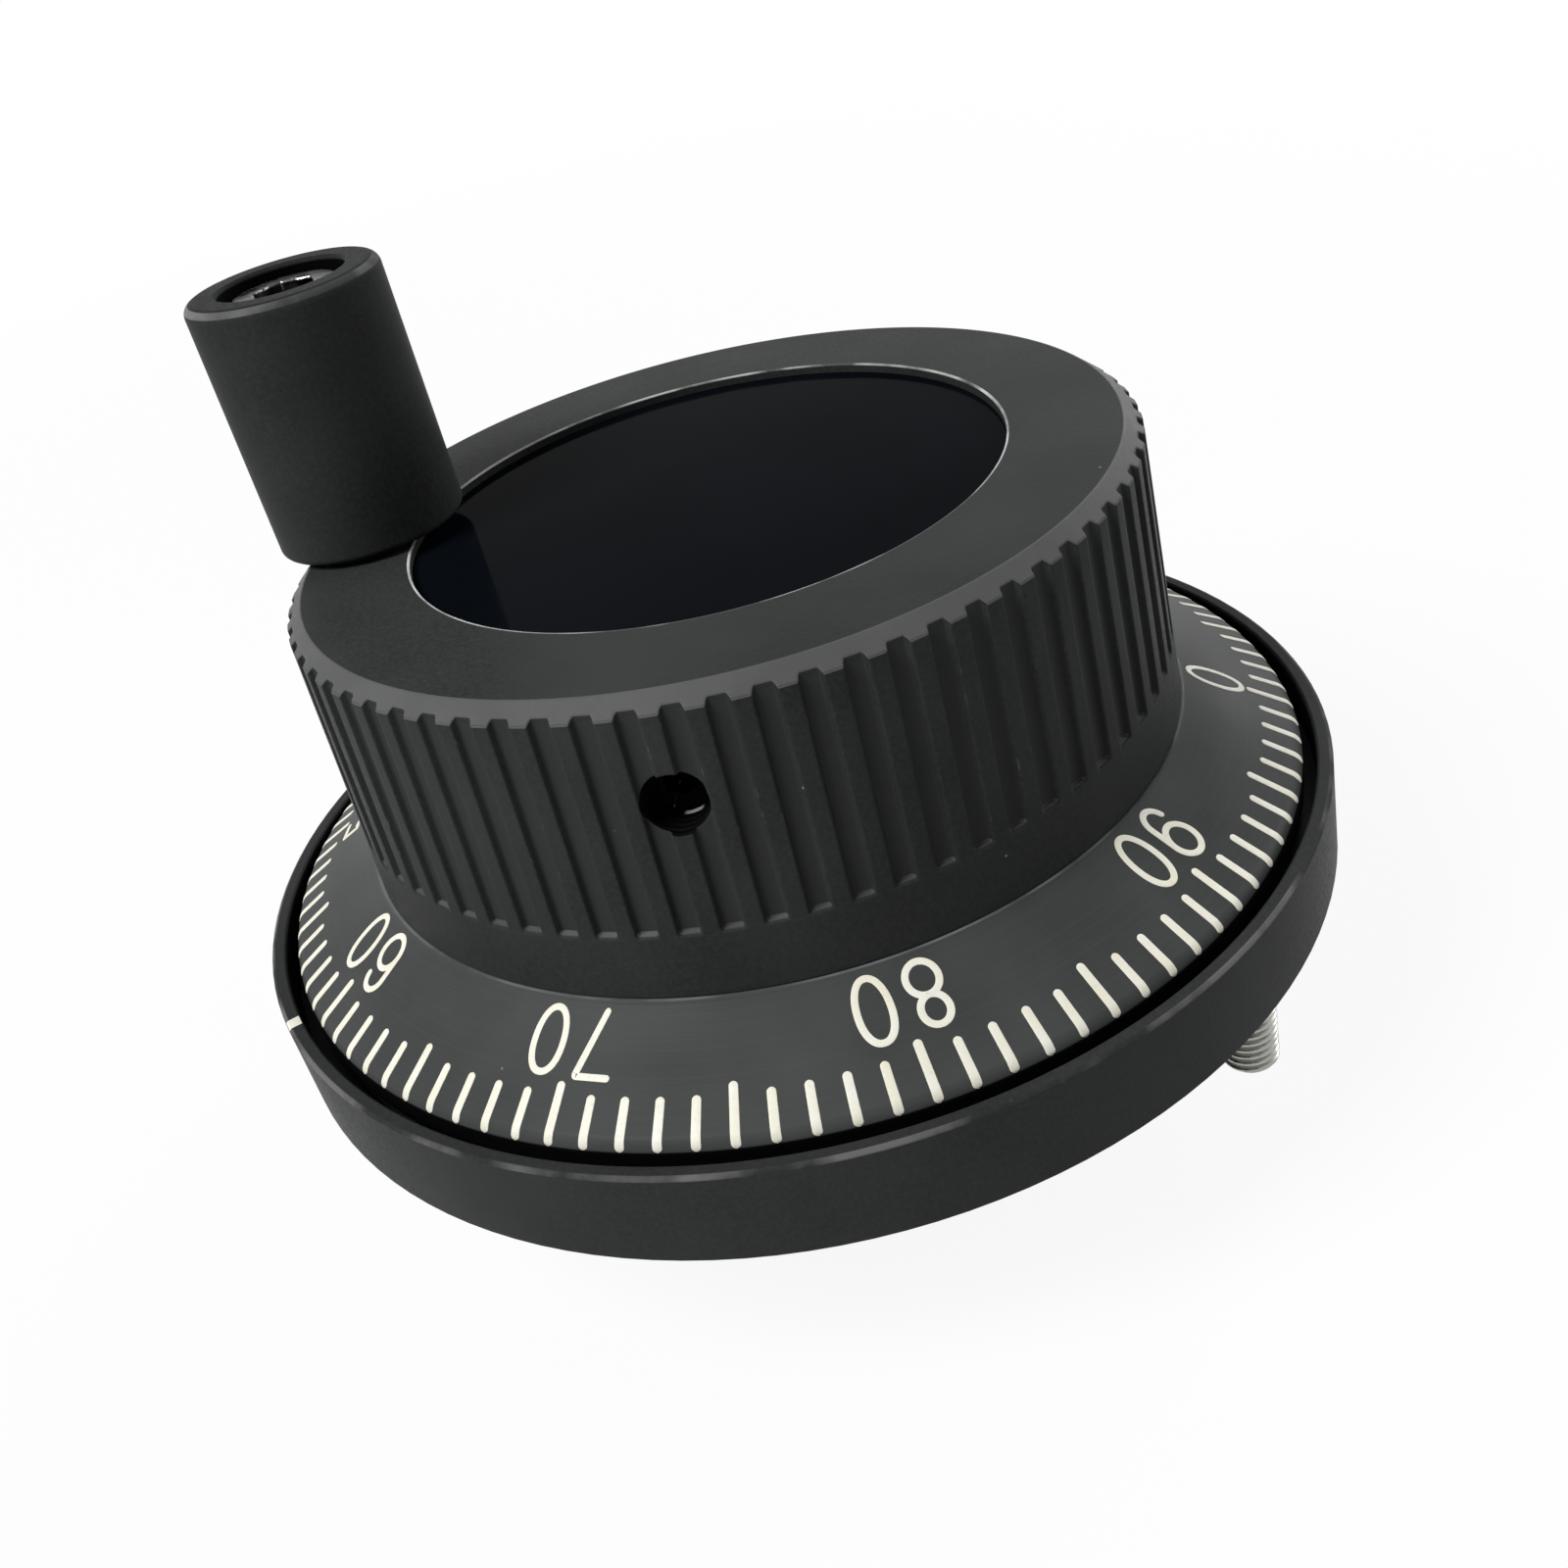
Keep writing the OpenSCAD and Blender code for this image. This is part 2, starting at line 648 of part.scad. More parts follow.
module encoder_hub() {
    color(brass) difference() {
        union() {
            translate([0, 0, disc_z - encoder_collar_h]) cylinder(r = encoder_collar_r, h = encoder_collar_h);
            translate([0, 0, disc_z]) cylinder(r = encoder_spigot_r, h = disc_t + 0.2);
        }
        translate([0, 0, disc_z - encoder_collar_h - cut])
            cylinder(r = spindle_r + seat, h = encoder_collar_h + disc_t + 3 * cut);
        translate([0, 0, disc_z - encoder_collar_h / 2]) rotate([0, 90, 0])
            cylinder(r = 1 + seat, h = encoder_collar_r + cut);
    }
}

module encoder_set_screw() {
    length = encoder_collar_r - spindle_r + 0.2;
    color(dark_steel) translate([spindle_r - 0.3, 0, disc_z - encoder_collar_h / 2]) rotate([0, 90, 0])
        difference() {
            cylinder(r = 1, h = length);
            translate([0, 0, length]) hex_socket(0.9, 1);
        }
}

// Thin disc with one radial slot for every pulse
module encoder_disc() {
    slot_w = PI * optics_r / slot_count;
    color(steel) translate([0, 0, disc_z]) linear_extrude(disc_t) difference() {
        circle(r = disc_r);
        circle(r = encoder_spigot_r + seat);
        for (i = [0 : slot_count - 1]) rotate(i * 360 / slot_count)
            translate([optics_r - slot_len / 2, -slot_w / 2]) square([slot_len, slot_w]);
    }
}

// Sleeve, web and drum in one revolved outline
module drive_hub() {
    sleeve_r = sleeve_d / 2;
    outline = [[spindle_r + seat, sleeve_z], [sleeve_r, sleeve_z], [sleeve_r, web_z],
        [drum_in_r, web_z], [drum_in_r, dial_top], [drum_r, dial_top], [drum_r, ceiling - slip],
        [drum_in_r, ceiling - slip], [drum_in_r, web_z + web_t], [sleeve_r, web_z + web_t],
        [sleeve_r, sleeve_top], [spindle_r + seat, sleeve_top]];
    color("#8f9396") difference() {
        rotate_extrude() polygon(outline);
        around(3, dial_screw_circle, 30) translate([0, 0, dial_top - cut])
            cylinder(r = dial_screw_r + seat, h = dial_screw_in + cut + seat);
        rotate([0, 0, set_screw_turn]) translate([drum_r - dimple, 0, set_screw_z])
            rotate([0, 90, 0]) cylinder(r = set_screw_r + slip, h = cut + dimple);
    }
}

module hub_washer() {
    color(steel) tube(6.5, 2.2, hub_washer_t, sleeve_top);
}

module hub_screw() {
    top = sleeve_top + hub_washer_t + hub_head_h;
    color(dark_steel) difference() {
        union() {
            translate([0, 0, top - hub_head_h]) cylinder(r = 3.5, h = hub_head_h);
            translate([0, 0, spindle_top - 7]) cylinder(r = 2, h = top - hub_head_h - spindle_top + 7);
        }
        translate([0, 0, top]) hex_socket(3, 2);
    }
}

// Dial cone: side, rounded edge, cone, inner flange
function dial_outline() = concat(
    [[dial_in_r, flange_under], [cone_under_r(), flange_under],
        [dial_r - dial_rim_t, cone_z(dial_r - dial_rim_t) - dial_t],
        [dial_r - dial_rim_t, dial_foot_z], [dial_r - 0.3, dial_foot_z], [dial_r, dial_foot_z + 0.3]],
    [for (a = [0 : (90 - dial_slope) / 8 : 90 - dial_slope])
        [dial_r - dial_edge_r + dial_edge_r * cos(a), dial_side_z + dial_edge_r * sin(a)]],
    [[knob_r, dial_top], [dial_in_r, dial_top]]);

// Height of the cone's surface at a radius, and radius where its underside meets the flange
function cone_z(r) = dial_top - (r - knob_r) * tan(dial_slope);
function cone_under_r() = knob_r + (dial_flange_t - dial_t) / tan(dial_slope);

module dial() {
    color(black_metal) difference() {
        rotate_extrude() polygon(dial_outline());
        around(3, dial_screw_circle, 30) translate([0, 0, flange_under - cut])
            cylinder(r = dial_screw_r + slip, h = dial_flange_t + 2 * cut);
    }
}

// Hardened ring whose underside carries a V notch for every detent
module detent_ring() {
    reach = 3;
    outer = track_r + 1.5;
    color(steel) difference() {
        tube(outer, dial_in_r + 2, ring_t, ring_z);
        around(detent_count, track_r - reach / 2) translate([0, 0, ring_z])
            rotate([90, 0, 90]) linear_extrude(reach + cut)
                polygon([[-notch_w * 0.7, -notch_depth * 0.4], [notch_w * 0.7, -notch_depth * 0.4],
                    [0, notch_depth]]);
        around(3, dial_screw_circle, 30) translate([0, 0, ring_z])
            flat_screw_hole(dial_screw_r, ring_t + cut, dial_screw_head_r);
    }
}

module dial_screws() {
    color(dark_steel) around(3, dial_screw_circle, 30) translate([0, 0, ring_z])
        flat_screw(dial_screw_r, dial_top + dial_screw_in - ring_z, dial_screw_head_r);
}

// Knob: revolved cap, ring of finger grooves that stop above the neck, screw holes
module knob() {
    skirt_r = drum_r + slip;
    recess_r = recess_d / 2;
    rim_r = knob_r - knob_taper;
    lean = atan(knob_taper / (knob_h - bevel_h));
    outline = [[0, ceiling], [skirt_r, ceiling], [skirt_r, dial_top + 0.4], [skirt_r + 0.4, dial_top],
        [knob_r - 0.1, dial_top], [knob_r, dial_top + 0.1], [rim_r, knob_top - bevel_h],
        [rim_r - bevel_w, knob_top], [recess_r + 0.2, knob_top], [recess_r, knob_top - 0.2],
        [recess_r, plate_z], [0, plate_z]];
    groove = [[-groove_depth, -groove_w * 0.37], [cut, -groove_w * 0.79], [cut, groove_w * 0.79],
        [-groove_depth, groove_w * 0.37]];
    color(black_metal) difference() {
        rotate_extrude() polygon(outline);
        around(groove_count, 0, set_screw_turn + 180 / groove_count)
            translate([knob_r - neck_h * tan(lean), 0, dial_top + neck_h]) rotate([0, -lean, 0])
                linear_extrude(knob_h) polygon(groove);
        rotate([0, 0, set_screw_turn]) translate([drum_r, 0, set_screw_z]) rotate([0, 90, 0])
            cylinder(r = set_screw_r + seat, h = knob_r);
        rotate([0, 0, grip_turn]) translate([grip_reach, 0, ceiling - cut])
            cylinder(d = axle_thread_d + 2 * seat, h = knob_top - ceiling + 2 * cut);
    }
}

module knob_set_screw() {
    color(dark_steel) rotate([0, 0, set_screw_turn]) translate([drum_r - dimple + seat, 0, set_screw_z])
        rotate([0, 90, 0]) difference() {
            cylinder(r = set_screw_r, h = set_screw_len);
            translate([0, 0, set_screw_len]) hex_socket(2, 1.8);
        }
}

module centre_plate() {
    color(gloss_black) translate([0, 0, plate_z]) cylinder(r = recess_d / 2 - slip, h = plate_t);
}

// Everything on the grip's axle is drawn round it, then turned into place
module at_grip() {
    rotate([0, 0, grip_turn]) translate([grip_reach, 0, 0]) children();
}

module grip_washer() {
    color(dark_steel) at_grip() tube(grip_d / 2 - 1.7, axle_d / 2 + seat, grip_washer_t, knob_top);
}

// Shoulder screw: thread in the knob, smooth journal, low head with a hexagon socket
module grip_axle() {
    thread_r = axle_thread_d / 2;
    journal_r = axle_d / 2;
    head_top = axle_head_z + axle_head_h;
    outline = [[0, ceiling + slip], [thread_r - 0.4, ceiling + slip], [thread_r, ceiling + slip + 0.4],
        [thread_r, knob_top], [journal_r, knob_top], [journal_r, axle_head_z],
        [axle_head_r, axle_head_z], [axle_head_r, head_top - 0.4], [axle_head_r - 0.4, head_top],
        [0, head_top]];
    color(steel) at_grip() difference() {
        rotate_extrude() polygon(outline);
        translate([0, 0, head_top]) hex_socket(4, 2);
    }
}

module grip() {
    grip_r = grip_d / 2;
    chamfer = 0.4;
    bush_r = axle_d / 2 + running + bush_wall;
    relief_r = axle_d / 2 + clear;
    outline = [[bush_r + seat, grip_z], [grip_r - chamfer, grip_z], [grip_r, grip_z + chamfer],
        [grip_r, grip_top - chamfer], [grip_r - chamfer, grip_top], [cbore_d / 2 + 0.2, grip_top],
        [cbore_d / 2, grip_top - 0.2], [cbore_d / 2, cbore_z], [bush_r + seat, cbore_z],
        [bush_r + seat, cbore_z - bush_len], [relief_r, cbore_z - bush_len],
        [relief_r, grip_z + bush_len], [bush_r + seat, grip_z + bush_len]];
    color(black_metal) at_grip() rotate_extrude() polygon(outline);
}

module grip_bushes() {
    bore_r = axle_d / 2 + running;
    color(bronze) at_grip() for (z = [grip_z, cbore_z - bush_len])
        tube(bore_r + bush_wall, bore_r, bush_len - seat, z);
}

mounting_flange();
index_mark();
panel_studs();
lower_bearing_outer();
upper_bearing_outer();
bearing_circlip();
shaft_seal();
detent_plunger();
detent_spring();
detent_ball();
circuit_board();
board_screws();
optical_head();
light_emitter();
photo_detector();
driver_chip();
capacitors();
rear_cover();
cover_screws();
terminal_block();
terminal_pins();
terminal_clamps();
terminal_screws();
spindle();
lower_bearing_inner();
upper_bearing_inner();
bearing_spacer();
spindle_circlip();
lower_bearing_balls();
upper_bearing_balls();
lower_bearing_cage();
upper_bearing_cage();
encoder_hub();
encoder_disc();
encoder_set_screw();
drive_hub();
hub_washer();
hub_screw();
dial();
detent_ring();
dial_screws();
knob();
knob_set_screw();
centre_plate();
grip_washer();
grip_axle();
grip();
grip_bushes();
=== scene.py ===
from math import cos, pi, radians, sin, tan
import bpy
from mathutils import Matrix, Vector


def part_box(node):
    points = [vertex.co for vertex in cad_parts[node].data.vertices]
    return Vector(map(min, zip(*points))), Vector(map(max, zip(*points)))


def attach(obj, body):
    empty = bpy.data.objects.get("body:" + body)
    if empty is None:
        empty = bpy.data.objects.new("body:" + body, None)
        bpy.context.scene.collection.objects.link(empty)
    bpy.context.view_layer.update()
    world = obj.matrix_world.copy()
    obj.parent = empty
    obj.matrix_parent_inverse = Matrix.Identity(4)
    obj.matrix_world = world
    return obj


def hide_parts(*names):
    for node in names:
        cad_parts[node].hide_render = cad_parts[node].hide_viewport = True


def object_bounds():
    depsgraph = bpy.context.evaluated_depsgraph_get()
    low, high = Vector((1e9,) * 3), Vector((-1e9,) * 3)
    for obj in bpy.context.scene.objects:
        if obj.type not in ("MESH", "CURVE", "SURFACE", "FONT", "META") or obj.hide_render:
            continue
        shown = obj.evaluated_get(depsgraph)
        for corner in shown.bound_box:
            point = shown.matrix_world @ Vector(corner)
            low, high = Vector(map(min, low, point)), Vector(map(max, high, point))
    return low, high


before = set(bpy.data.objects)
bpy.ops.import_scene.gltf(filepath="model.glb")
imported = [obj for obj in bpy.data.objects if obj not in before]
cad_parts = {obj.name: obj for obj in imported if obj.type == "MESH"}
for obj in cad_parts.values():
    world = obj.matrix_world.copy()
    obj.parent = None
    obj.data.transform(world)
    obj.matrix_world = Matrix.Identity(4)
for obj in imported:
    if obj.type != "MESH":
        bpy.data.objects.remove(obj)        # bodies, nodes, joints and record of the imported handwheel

from types import SimpleNamespace

import bpy
import numpy as np
from bpy.props import FloatProperty, FloatVectorProperty, IntProperty, PointerProperty
from bpy.types import Operator, Panel, PropertyGroup
from mathutils import Matrix, Vector

CAD_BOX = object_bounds()

bl_info = {
    "name": "Pulse generator handwheel",
    "version": (1, 0, 0),
    "blender": (4, 5, 0),
    "location": "View3D > Sidebar > Handwheel",
    "description": "Turned shells, dial marks, threads and finishes on the packed handwheel",
    "category": "Object",
}

MM = 0.001


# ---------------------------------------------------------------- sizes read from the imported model

def low(node):
    """Lowest corner of a node's box, in millimetres."""
    return np.array(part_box(node)[0]) / MM


def high(node):
    """Highest corner of a node's box, in millimetres."""
    return np.array(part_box(node)[1]) / MM


DIAL_R, _, DIAL_TOP = high("dial")
DIAL_FOOT = low("dial")[2]
KNOB_R, _, KNOB_TOP = high("knob")
PLATE_R = high("centre_plate")[0]
PLATE_FOOT = low("centre_plate")[2]
GRIP_AT = (low("grip") + high("grip"))[:2] / 2
GRIP_R = (high("grip") - low("grip"))[0] / 2
GRIP_FOOT = low("grip")[2]
GRIP_TOP = high("grip")[2]
BEZEL_R = high("mounting_flange")[0]
BEZEL_TOP = high("index_mark")[2]
STUD_END = low("panel_studs")[2]
STUD_ROOT = high("panel_studs")[2]
STUD_REACH = high("panel_studs")[1]


# ---------------------------------------------------------------- mesh building

SHARP_ANGLE = radians(38)


def mesh_object(name, points, faces):
    """Object from points in millimetres and a list of index arrays, one for each face size."""
    corners = np.concatenate([face.ravel() for face in faces])
    sizes = np.concatenate([np.full(len(face), face.shape[1]) for face in faces])
    starts = np.cumsum(sizes) - sizes
    mesh = bpy.data.meshes.new(name)
    mesh.vertices.add(len(points))
    mesh.vertices.foreach_set("co", (points * MM).astype(np.float32).ravel())
    mesh.loops.add(len(corners))
    mesh.loops.foreach_set("vertex_index", corners.astype(np.int32))
    mesh.polygons.add(len(sizes))
    mesh.polygons.foreach_set("loop_start", starts.astype(np.int32))
    mesh.polygons.foreach_set("use_smooth", np.ones(len(sizes), bool))
    mesh.update(calc_edges=True)
    mesh.validate()
    mesh.set_sharp_from_angle(angle=SHARP_ANGLE)
    piece = bpy.data.objects.new(name, mesh)
    bpy.context.scene.collection.objects.link(piece)
    return piece


def grid_faces(rows, columns, first=0, wrap_rows=True, wrap_columns=True):
    """Quads between neighbours of a rows by columns grid.

    A wrapped side joins its last line to its first.
    """
    index = first + np.arange(rows * columns).reshape(rows, columns)
    beside = np.roll(index, -1, axis=0) if wrap_rows else index[1:]
    index = index if wrap_rows else index[:-1]
    quads = np.stack([index, beside, np.roll(beside, -1, axis=1), np.roll(index, -1, axis=1)],
                     axis=-1)
    if not wrap_columns:
        quads = quads[:, :-1]
    return quads.reshape(-1, 4)


def pole_faces(count, length, first=0):
    """Quads and fans of a ring of count lines, each length points long.

    All lines start at one pole and end at another, whose two points follow the last line.
    """
    start = first + np.arange(count) * length
    end = start + length - 1
    pole = np.full(count, first + count * length)
    return [grid_faces(count, length, first, wrap_columns=False),
            np.stack([pole, np.roll(start, -1), start], axis=1),
            np.stack([end, np.roll(end, -1), pole + 1], axis=1)]


def rounded(corners, steps=6, support=0.03, closed=True):
    """Outline with every corner (x, y, radius) turned into an arc tangent to both sides.

    The arc's centre lies on the corner's bisector at radius / sin(half angle), and the arc
    starts and ends at radius / tan(half angle) from the corner. One more point beside each end
    keeps the flat sides flat.
    """
    corners = np.array(corners, float)
    outline = []
    last = len(corners) - 1
    for i, (x, y, radius) in enumerate(corners):
        corner = np.array([x, y])
        if radius == 0 or (not closed and i in (0, last)):
            outline.append(corner[None])
            continue
        before = corners[i - 1, :2] - corner
        after = corners[(i + 1) % len(corners), :2] - corner
        room = min(np.linalg.norm(before), np.linalg.norm(after)) * 0.48
        before /= np.linalg.norm(before)
        after /= np.linalg.norm(after)
        half = np.arccos(np.clip(before @ after, -1, 1)) / 2
        reach = min(radius / np.tan(half), room)
        radius = reach * np.tan(half)
        bisector = (before + after) / np.linalg.norm(before + after)
        centre = corner + bisector * radius / np.sin(half)
        start = corner + before * reach - centre
        side = np.sign(before[0] * after[1] - before[1] * after[0])
        angle = -side * np.linspace(0, np.pi - 2 * half, steps + 1)
        arc = centre + np.stack([start[0] * np.cos(angle) - start[1] * np.sin(angle),
                                 start[0] * np.sin(angle) + start[1] * np.cos(angle)], axis=1)
        extra = reach + min(support, room * 0.04)
        outline += [(corner + before * extra)[None], arc, (corner + after * extra)[None]]
    return np.concatenate(outline)


def full_turn(count):
    """Angles of count equal steps round a full turn."""
    return np.linspace(0, 2 * pi, count, endpoint=False)


def turned(name, outline, count=360, centre=(0, 0)):
    """Surface of revolution: (centre + r cos a, centre + r sin a, z) for each outline (r, z).

    The closed outline runs anticlockwise with r to the right and z up, so that the faces point
    outwards.
    """
    angle = full_turn(count)[:, None]
    radius, height = outline[:, 0], outline[:, 1]
    points = np.stack([centre[0] + radius * np.cos(angle), centre[1] + radius * np.sin(angle),
                       np.broadcast_to(height, (count, len(height)))], axis=-1)
    return mesh_object(name, points.reshape(-1, 3), [grid_faces(count, len(outline))])


def softer_min(a, b, blend):
    """Smaller of two arrays, with the crease between them rounded over the width blend."""
    overlap = np.clip(blend - np.abs(a - b), 0, None) / blend
    return np.minimum(a, b) - overlap ** 2 * blend / 4


def finish_piece(piece, body, finish, slot, *nodes):
    """Give a piece its finish, let it stand for CAD nodes and ride a body. slot is not used."""
    if not piece.data.materials:
        piece.data.materials.append(bpy.data.materials[finish])
    if nodes:
        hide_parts(*nodes)
    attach(piece, body)


# ---------------------------------------------------------------- nodes

class Nodes:
    """Short calls for the nodes of one tree."""

    def __init__(self, tree):
        self.tree = tree

    def add(self, kind, **settings):
        node = self.tree.nodes.new(kind)
        for key, value in settings.items():
            setattr(node, key, value)
        return node

    def link(self, value, socket):
        """Feed a socket from another node's output, or set it to a plain value."""
        if isinstance(value, bpy.types.NodeSocket):
            self.tree.links.new(value, socket)
        else:
            socket.default_value = value

    def maths(self, operation, a, b=0.0):
        node = self.add("ShaderNodeMath", operation=operation)
        self.link(a, node.inputs[0])
        self.link(b, node.inputs[1])
        return node.outputs[0]

    def times(self, a, b):
        return self.maths("MULTIPLY", a, b)

    def vector_maths(self, operation, a, b=(0, 0, 0), output="Value"):
        node = self.add("ShaderNodeVectorMath", operation=operation)
        self.link(a, node.inputs[0])
        self.link(b, node.inputs["Scale" if operation == "SCALE" else 1])
        return node.outputs[output]

    def span(self, value, start, end, low=0.0, high=1.0):
        """Value moved from the span start..end to low..high and held inside it."""
        node = self.add("ShaderNodeMapRange")
        self.link(value, node.inputs["Value"])
        for key, number in zip(("From Min", "From Max", "To Min", "To Max"),
                               (start, end, low, high)):
            node.inputs[key].default_value = number
        return node.outputs["Result"]

    def place(self):
        """Place on the piece, in millimetres."""
        place = self.add("ShaderNodeTexCoord").outputs["Object"]
        return self.vector_maths("SCALE", place, 1 / MM, "Vector")

    def seen(self):
        """1 where the camera, a reflection or glass sees the surface, 0 for all other light."""
        path = self.add("ShaderNodeLightPath").outputs
        sight = self.maths("MAXIMUM", path["Is Camera Ray"], path["Is Glossy Ray"])
        return self.maths("MAXIMUM", sight, path["Is Transmission Ray"])


class Finish(Nodes):
    """One procedural material. Its lengths are in millimetres."""

    def __init__(self, name, base, roughness, metallic=0.0, specular=0.5):
        material = bpy.data.materials.new(name)
        material.use_nodes = True
        super().__init__(material.node_tree)
        self.shader = self.tree.nodes["Principled BSDF"]
        self.shader.inputs["Base Color"].default_value = (*base, 1)
        self.shader.inputs["Roughness"].default_value = roughness
        self.shader.inputs["Metallic"].default_value = metallic
        self.shader.inputs["Specular IOR Level"].default_value = specular
        self.at = self.place()

    def noise(self, size, detail=2.0, stretch=(1, 1, 1)):
        """Noise whose blotches are about size wide, stretched along the axes."""
        place = self.at
        if stretch != (1, 1, 1):
            mapping = self.add("ShaderNodeMapping")
            self.link(place, mapping.inputs["Vector"])
            mapping.inputs["Scale"].default_value = [1 / part for part in stretch]
            place = mapping.outputs["Vector"]
        node = self.add("ShaderNodeTexNoise")
        self.link(place, node.inputs["Vector"])
        node.inputs["Scale"].default_value = 1 / size
        node.inputs["Detail"].default_value = detail
        return node.outputs["Fac"]

    def patches(self, size, detail, start, end, low=0.0, high=1.0):
        """Noise whose values between start and end become low..high."""
        return self.span(self.noise(size, detail), start, end, low, high)

    def specks(self, cell, size, share):
        """Mask of round specks up to size wide, in a share of random cells cell wide."""
        node = self.add("ShaderNodeTexVoronoi")
        self.link(self.at, node.inputs["Vector"])
        node.inputs["Scale"].default_value = 1 / cell
        edge = size / cell / 2
        near = self.span(node.outputs["Distance"], edge, edge * 0.6)
        parts = self.add("ShaderNodeSeparateColor")
        self.link(node.outputs["Color"], parts.inputs["Color"])
        return self.times(near, self.span(parts.outputs["Red"], 1 - share - 0.001, 1 - share))

    def near(self, value, middle, half_width):
        """1 where a value lies within half_width of the middle, fading to 0 just outside."""
        off = self.maths("ABSOLUTE", self.maths("SUBTRACT", value, middle))
        return self.span(off, half_width * 1.3, half_width * 0.9)

    def blend(self, share, a, b):
        """Colour a where share is 0 and colour b where it is 1."""
        node = self.add("ShaderNodeMix", data_type="RGBA")
        self.link(share, node.inputs["Factor"])
        for value, key in ((a, "A"), (b, "B")):
            plain = not isinstance(value, bpy.types.NodeSocket)
            self.link((*value, 1) if plain else value, node.inputs[key])
        return node.outputs["Result"]

    def bump(self, height, distance, strength=1.0, normal=None):
        node = self.add("ShaderNodeBump")
        self.link(height, node.inputs["Height"])
        node.inputs["Distance"].default_value = distance * MM
        node.inputs["Strength"].default_value = strength
        if normal:
            self.link(normal, node.inputs["Normal"])
        return node.outputs["Normal"]

    def soft_edges(self, radius):
        """Normal that runs round the piece's edges, and a mask that is 1 on them."""
        bevel = self.add("ShaderNodeBevel", samples=6)
        bevel.inputs["Radius"].default_value = radius * MM
        flat = self.add("ShaderNodeNewGeometry").outputs["Normal"]
        turn = self.vector_maths("DOT_PRODUCT", bevel.outputs["Normal"], flat)
        return bevel.outputs["Normal"], self.span(turn, 0.995, 0.93)

    def axes(self):
        """X, Y and Z of the place on the piece, as separate values."""
        parts = self.add("ShaderNodeSeparateXYZ")
        self.link(self.at, parts.inputs[0])
        return parts.outputs

    def turn_radius(self, centre=(0, 0)):
        """Distance from the spindle's axis, or from an upright axis through another centre."""
        x, y = (self.maths("SUBTRACT", part, middle) for part, middle in zip(self.axes(), centre))
        return self.maths("SQRT", self.maths("ADD", self.times(x, x), self.times(y, y)))

    def height(self):
        return self.axes()[2]

    def surface(self, colour, roughness, normal):
        """Link the three values that every finish varies to the shader."""
        for key, value in (("Base Color", colour), ("Roughness", roughness), ("Normal", normal)):
            self.link(value, self.shader.inputs[key])


def shade(colour, factor):
    return tuple(min(1.0, part * factor) for part in colour)


# ---------------------------------------------------------------- materials

BARE_METAL = (0.30, 0.31, 0.31)
DUST = (0.4, 0.4, 0.38)
UNLIT = (0.003, 0.003, 0.003)


def flecked(f, dye, edges, share, dust_share):
    """Dye with bare metal flecks on the edges and a few dust specks."""
    dye = f.blend(f.times(edges, share), dye, BARE_METAL)
    return f.blend(f.times(f.specks(2, 0.2, dust_share), 0.5), dye, DUST)


def blasted_anodising(settings, name, painted_light_zones=None, gloss=1.0):
    """Bead-blasted, black-anodised aluminium: fine grain, cloudy dye, flecks and dust.

    Where a piece has zones of painted light or shade, its zones function gives a mask, the least and
    the most share, and the painted colour, for each. gloss is the piece's share of the anodising's
    gloss.
    """
    base = tuple(settings.anodised)
    f = Finish(name, base, 0.46, specular=settings.anodised_gloss * gloss)
    grain = f.noise(0.3)
    edge_normal, edges = f.soft_edges(0.16)
    dye = f.blend(f.patches(11, 3, 0.3, 0.7), shade(base, 0.87), shade(base, 1.32))
    dye = f.blend(f.span(grain, 0.35, 0.8, 0, 0.38), dye, shade(base, 2.0))
    flecks = f.times(f.patches(1.2, 5, 0.6, 0.7), f.patches(9, 2, 0.5, 0.64, 0, 0.45))
    dye = flecked(f, dye, edges, flecks, 0.1)
    # painted light and shade: each zone's colour is laid over the anodising in patches
    for mask, least, most, bare in (painted_light_zones(f) if painted_light_zones else ()):
        dye = f.blend(f.times(mask, f.patches(6, 4, 0.42, 0.6, least, most)), dye, bare)
    waves = f.bump(f.noise(1.6, 3), 0.01, 0.5, edge_normal)
    f.surface(dye, f.span(grain, 0.3, 0.7, 0.38, 0.54), f.bump(grain, 0.018, 0.7, waves))


def knob_wear(knob):
    """Painted light on the knob: groove floors painted lighter against their shade, and painted
    highlights on the recess rim, the ledges under the grooves and the bevel.

    On the bevel's cone, r h / w + z keeps one value for a bevel of width w and height h, so a
    narrow band of it is the cone. On the groove floors, r + t z / rise keeps one value for the
    wall's taper t.
    """
    rim = KNOB_R - knob.taper
    wall_top = KNOB_TOP - knob.bevel_height
    steep = knob.bevel_height / knob.bevel_width
    lean = knob.taper / (wall_top - DIAL_TOP)
    floor_r = KNOB_R - knob.groove_depth

    def zones(f):
        radius, height = f.turn_radius(), f.height()
        floor = f.near(f.maths("ADD", radius, f.times(height, lean)),
                       floor_r + DIAL_TOP * lean, 0.1)
        edge = f.times(f.near(radius, PLATE_R + 0.15, 0.1), f.near(height, KNOB_TOP, 0.1))
        ledge = f.times(f.near(radius, floor_r - 0.1, 0.2),
                        f.near(height, DIAL_TOP + knob.neck_height, 0.16))
        cone = f.near(f.maths("ADD", f.times(radius, steep), height), rim * steep + wall_top, 0.07)
        # painted light: lighter groove floors against their shade; painted highlights on the rim edge,
        # the ledges and the bevel cone
        return ((floor, 0.75, 0.9, (0.036, 0.038, 0.037)), (edge, 0.1, 1.0, (0.62, 0.63, 0.62)),
                (ledge, 0.6, 1.0, (0.10, 0.105, 0.10)), (cone, 0.85, 1.0, (0.115, 0.118, 0.116)))
    return zones


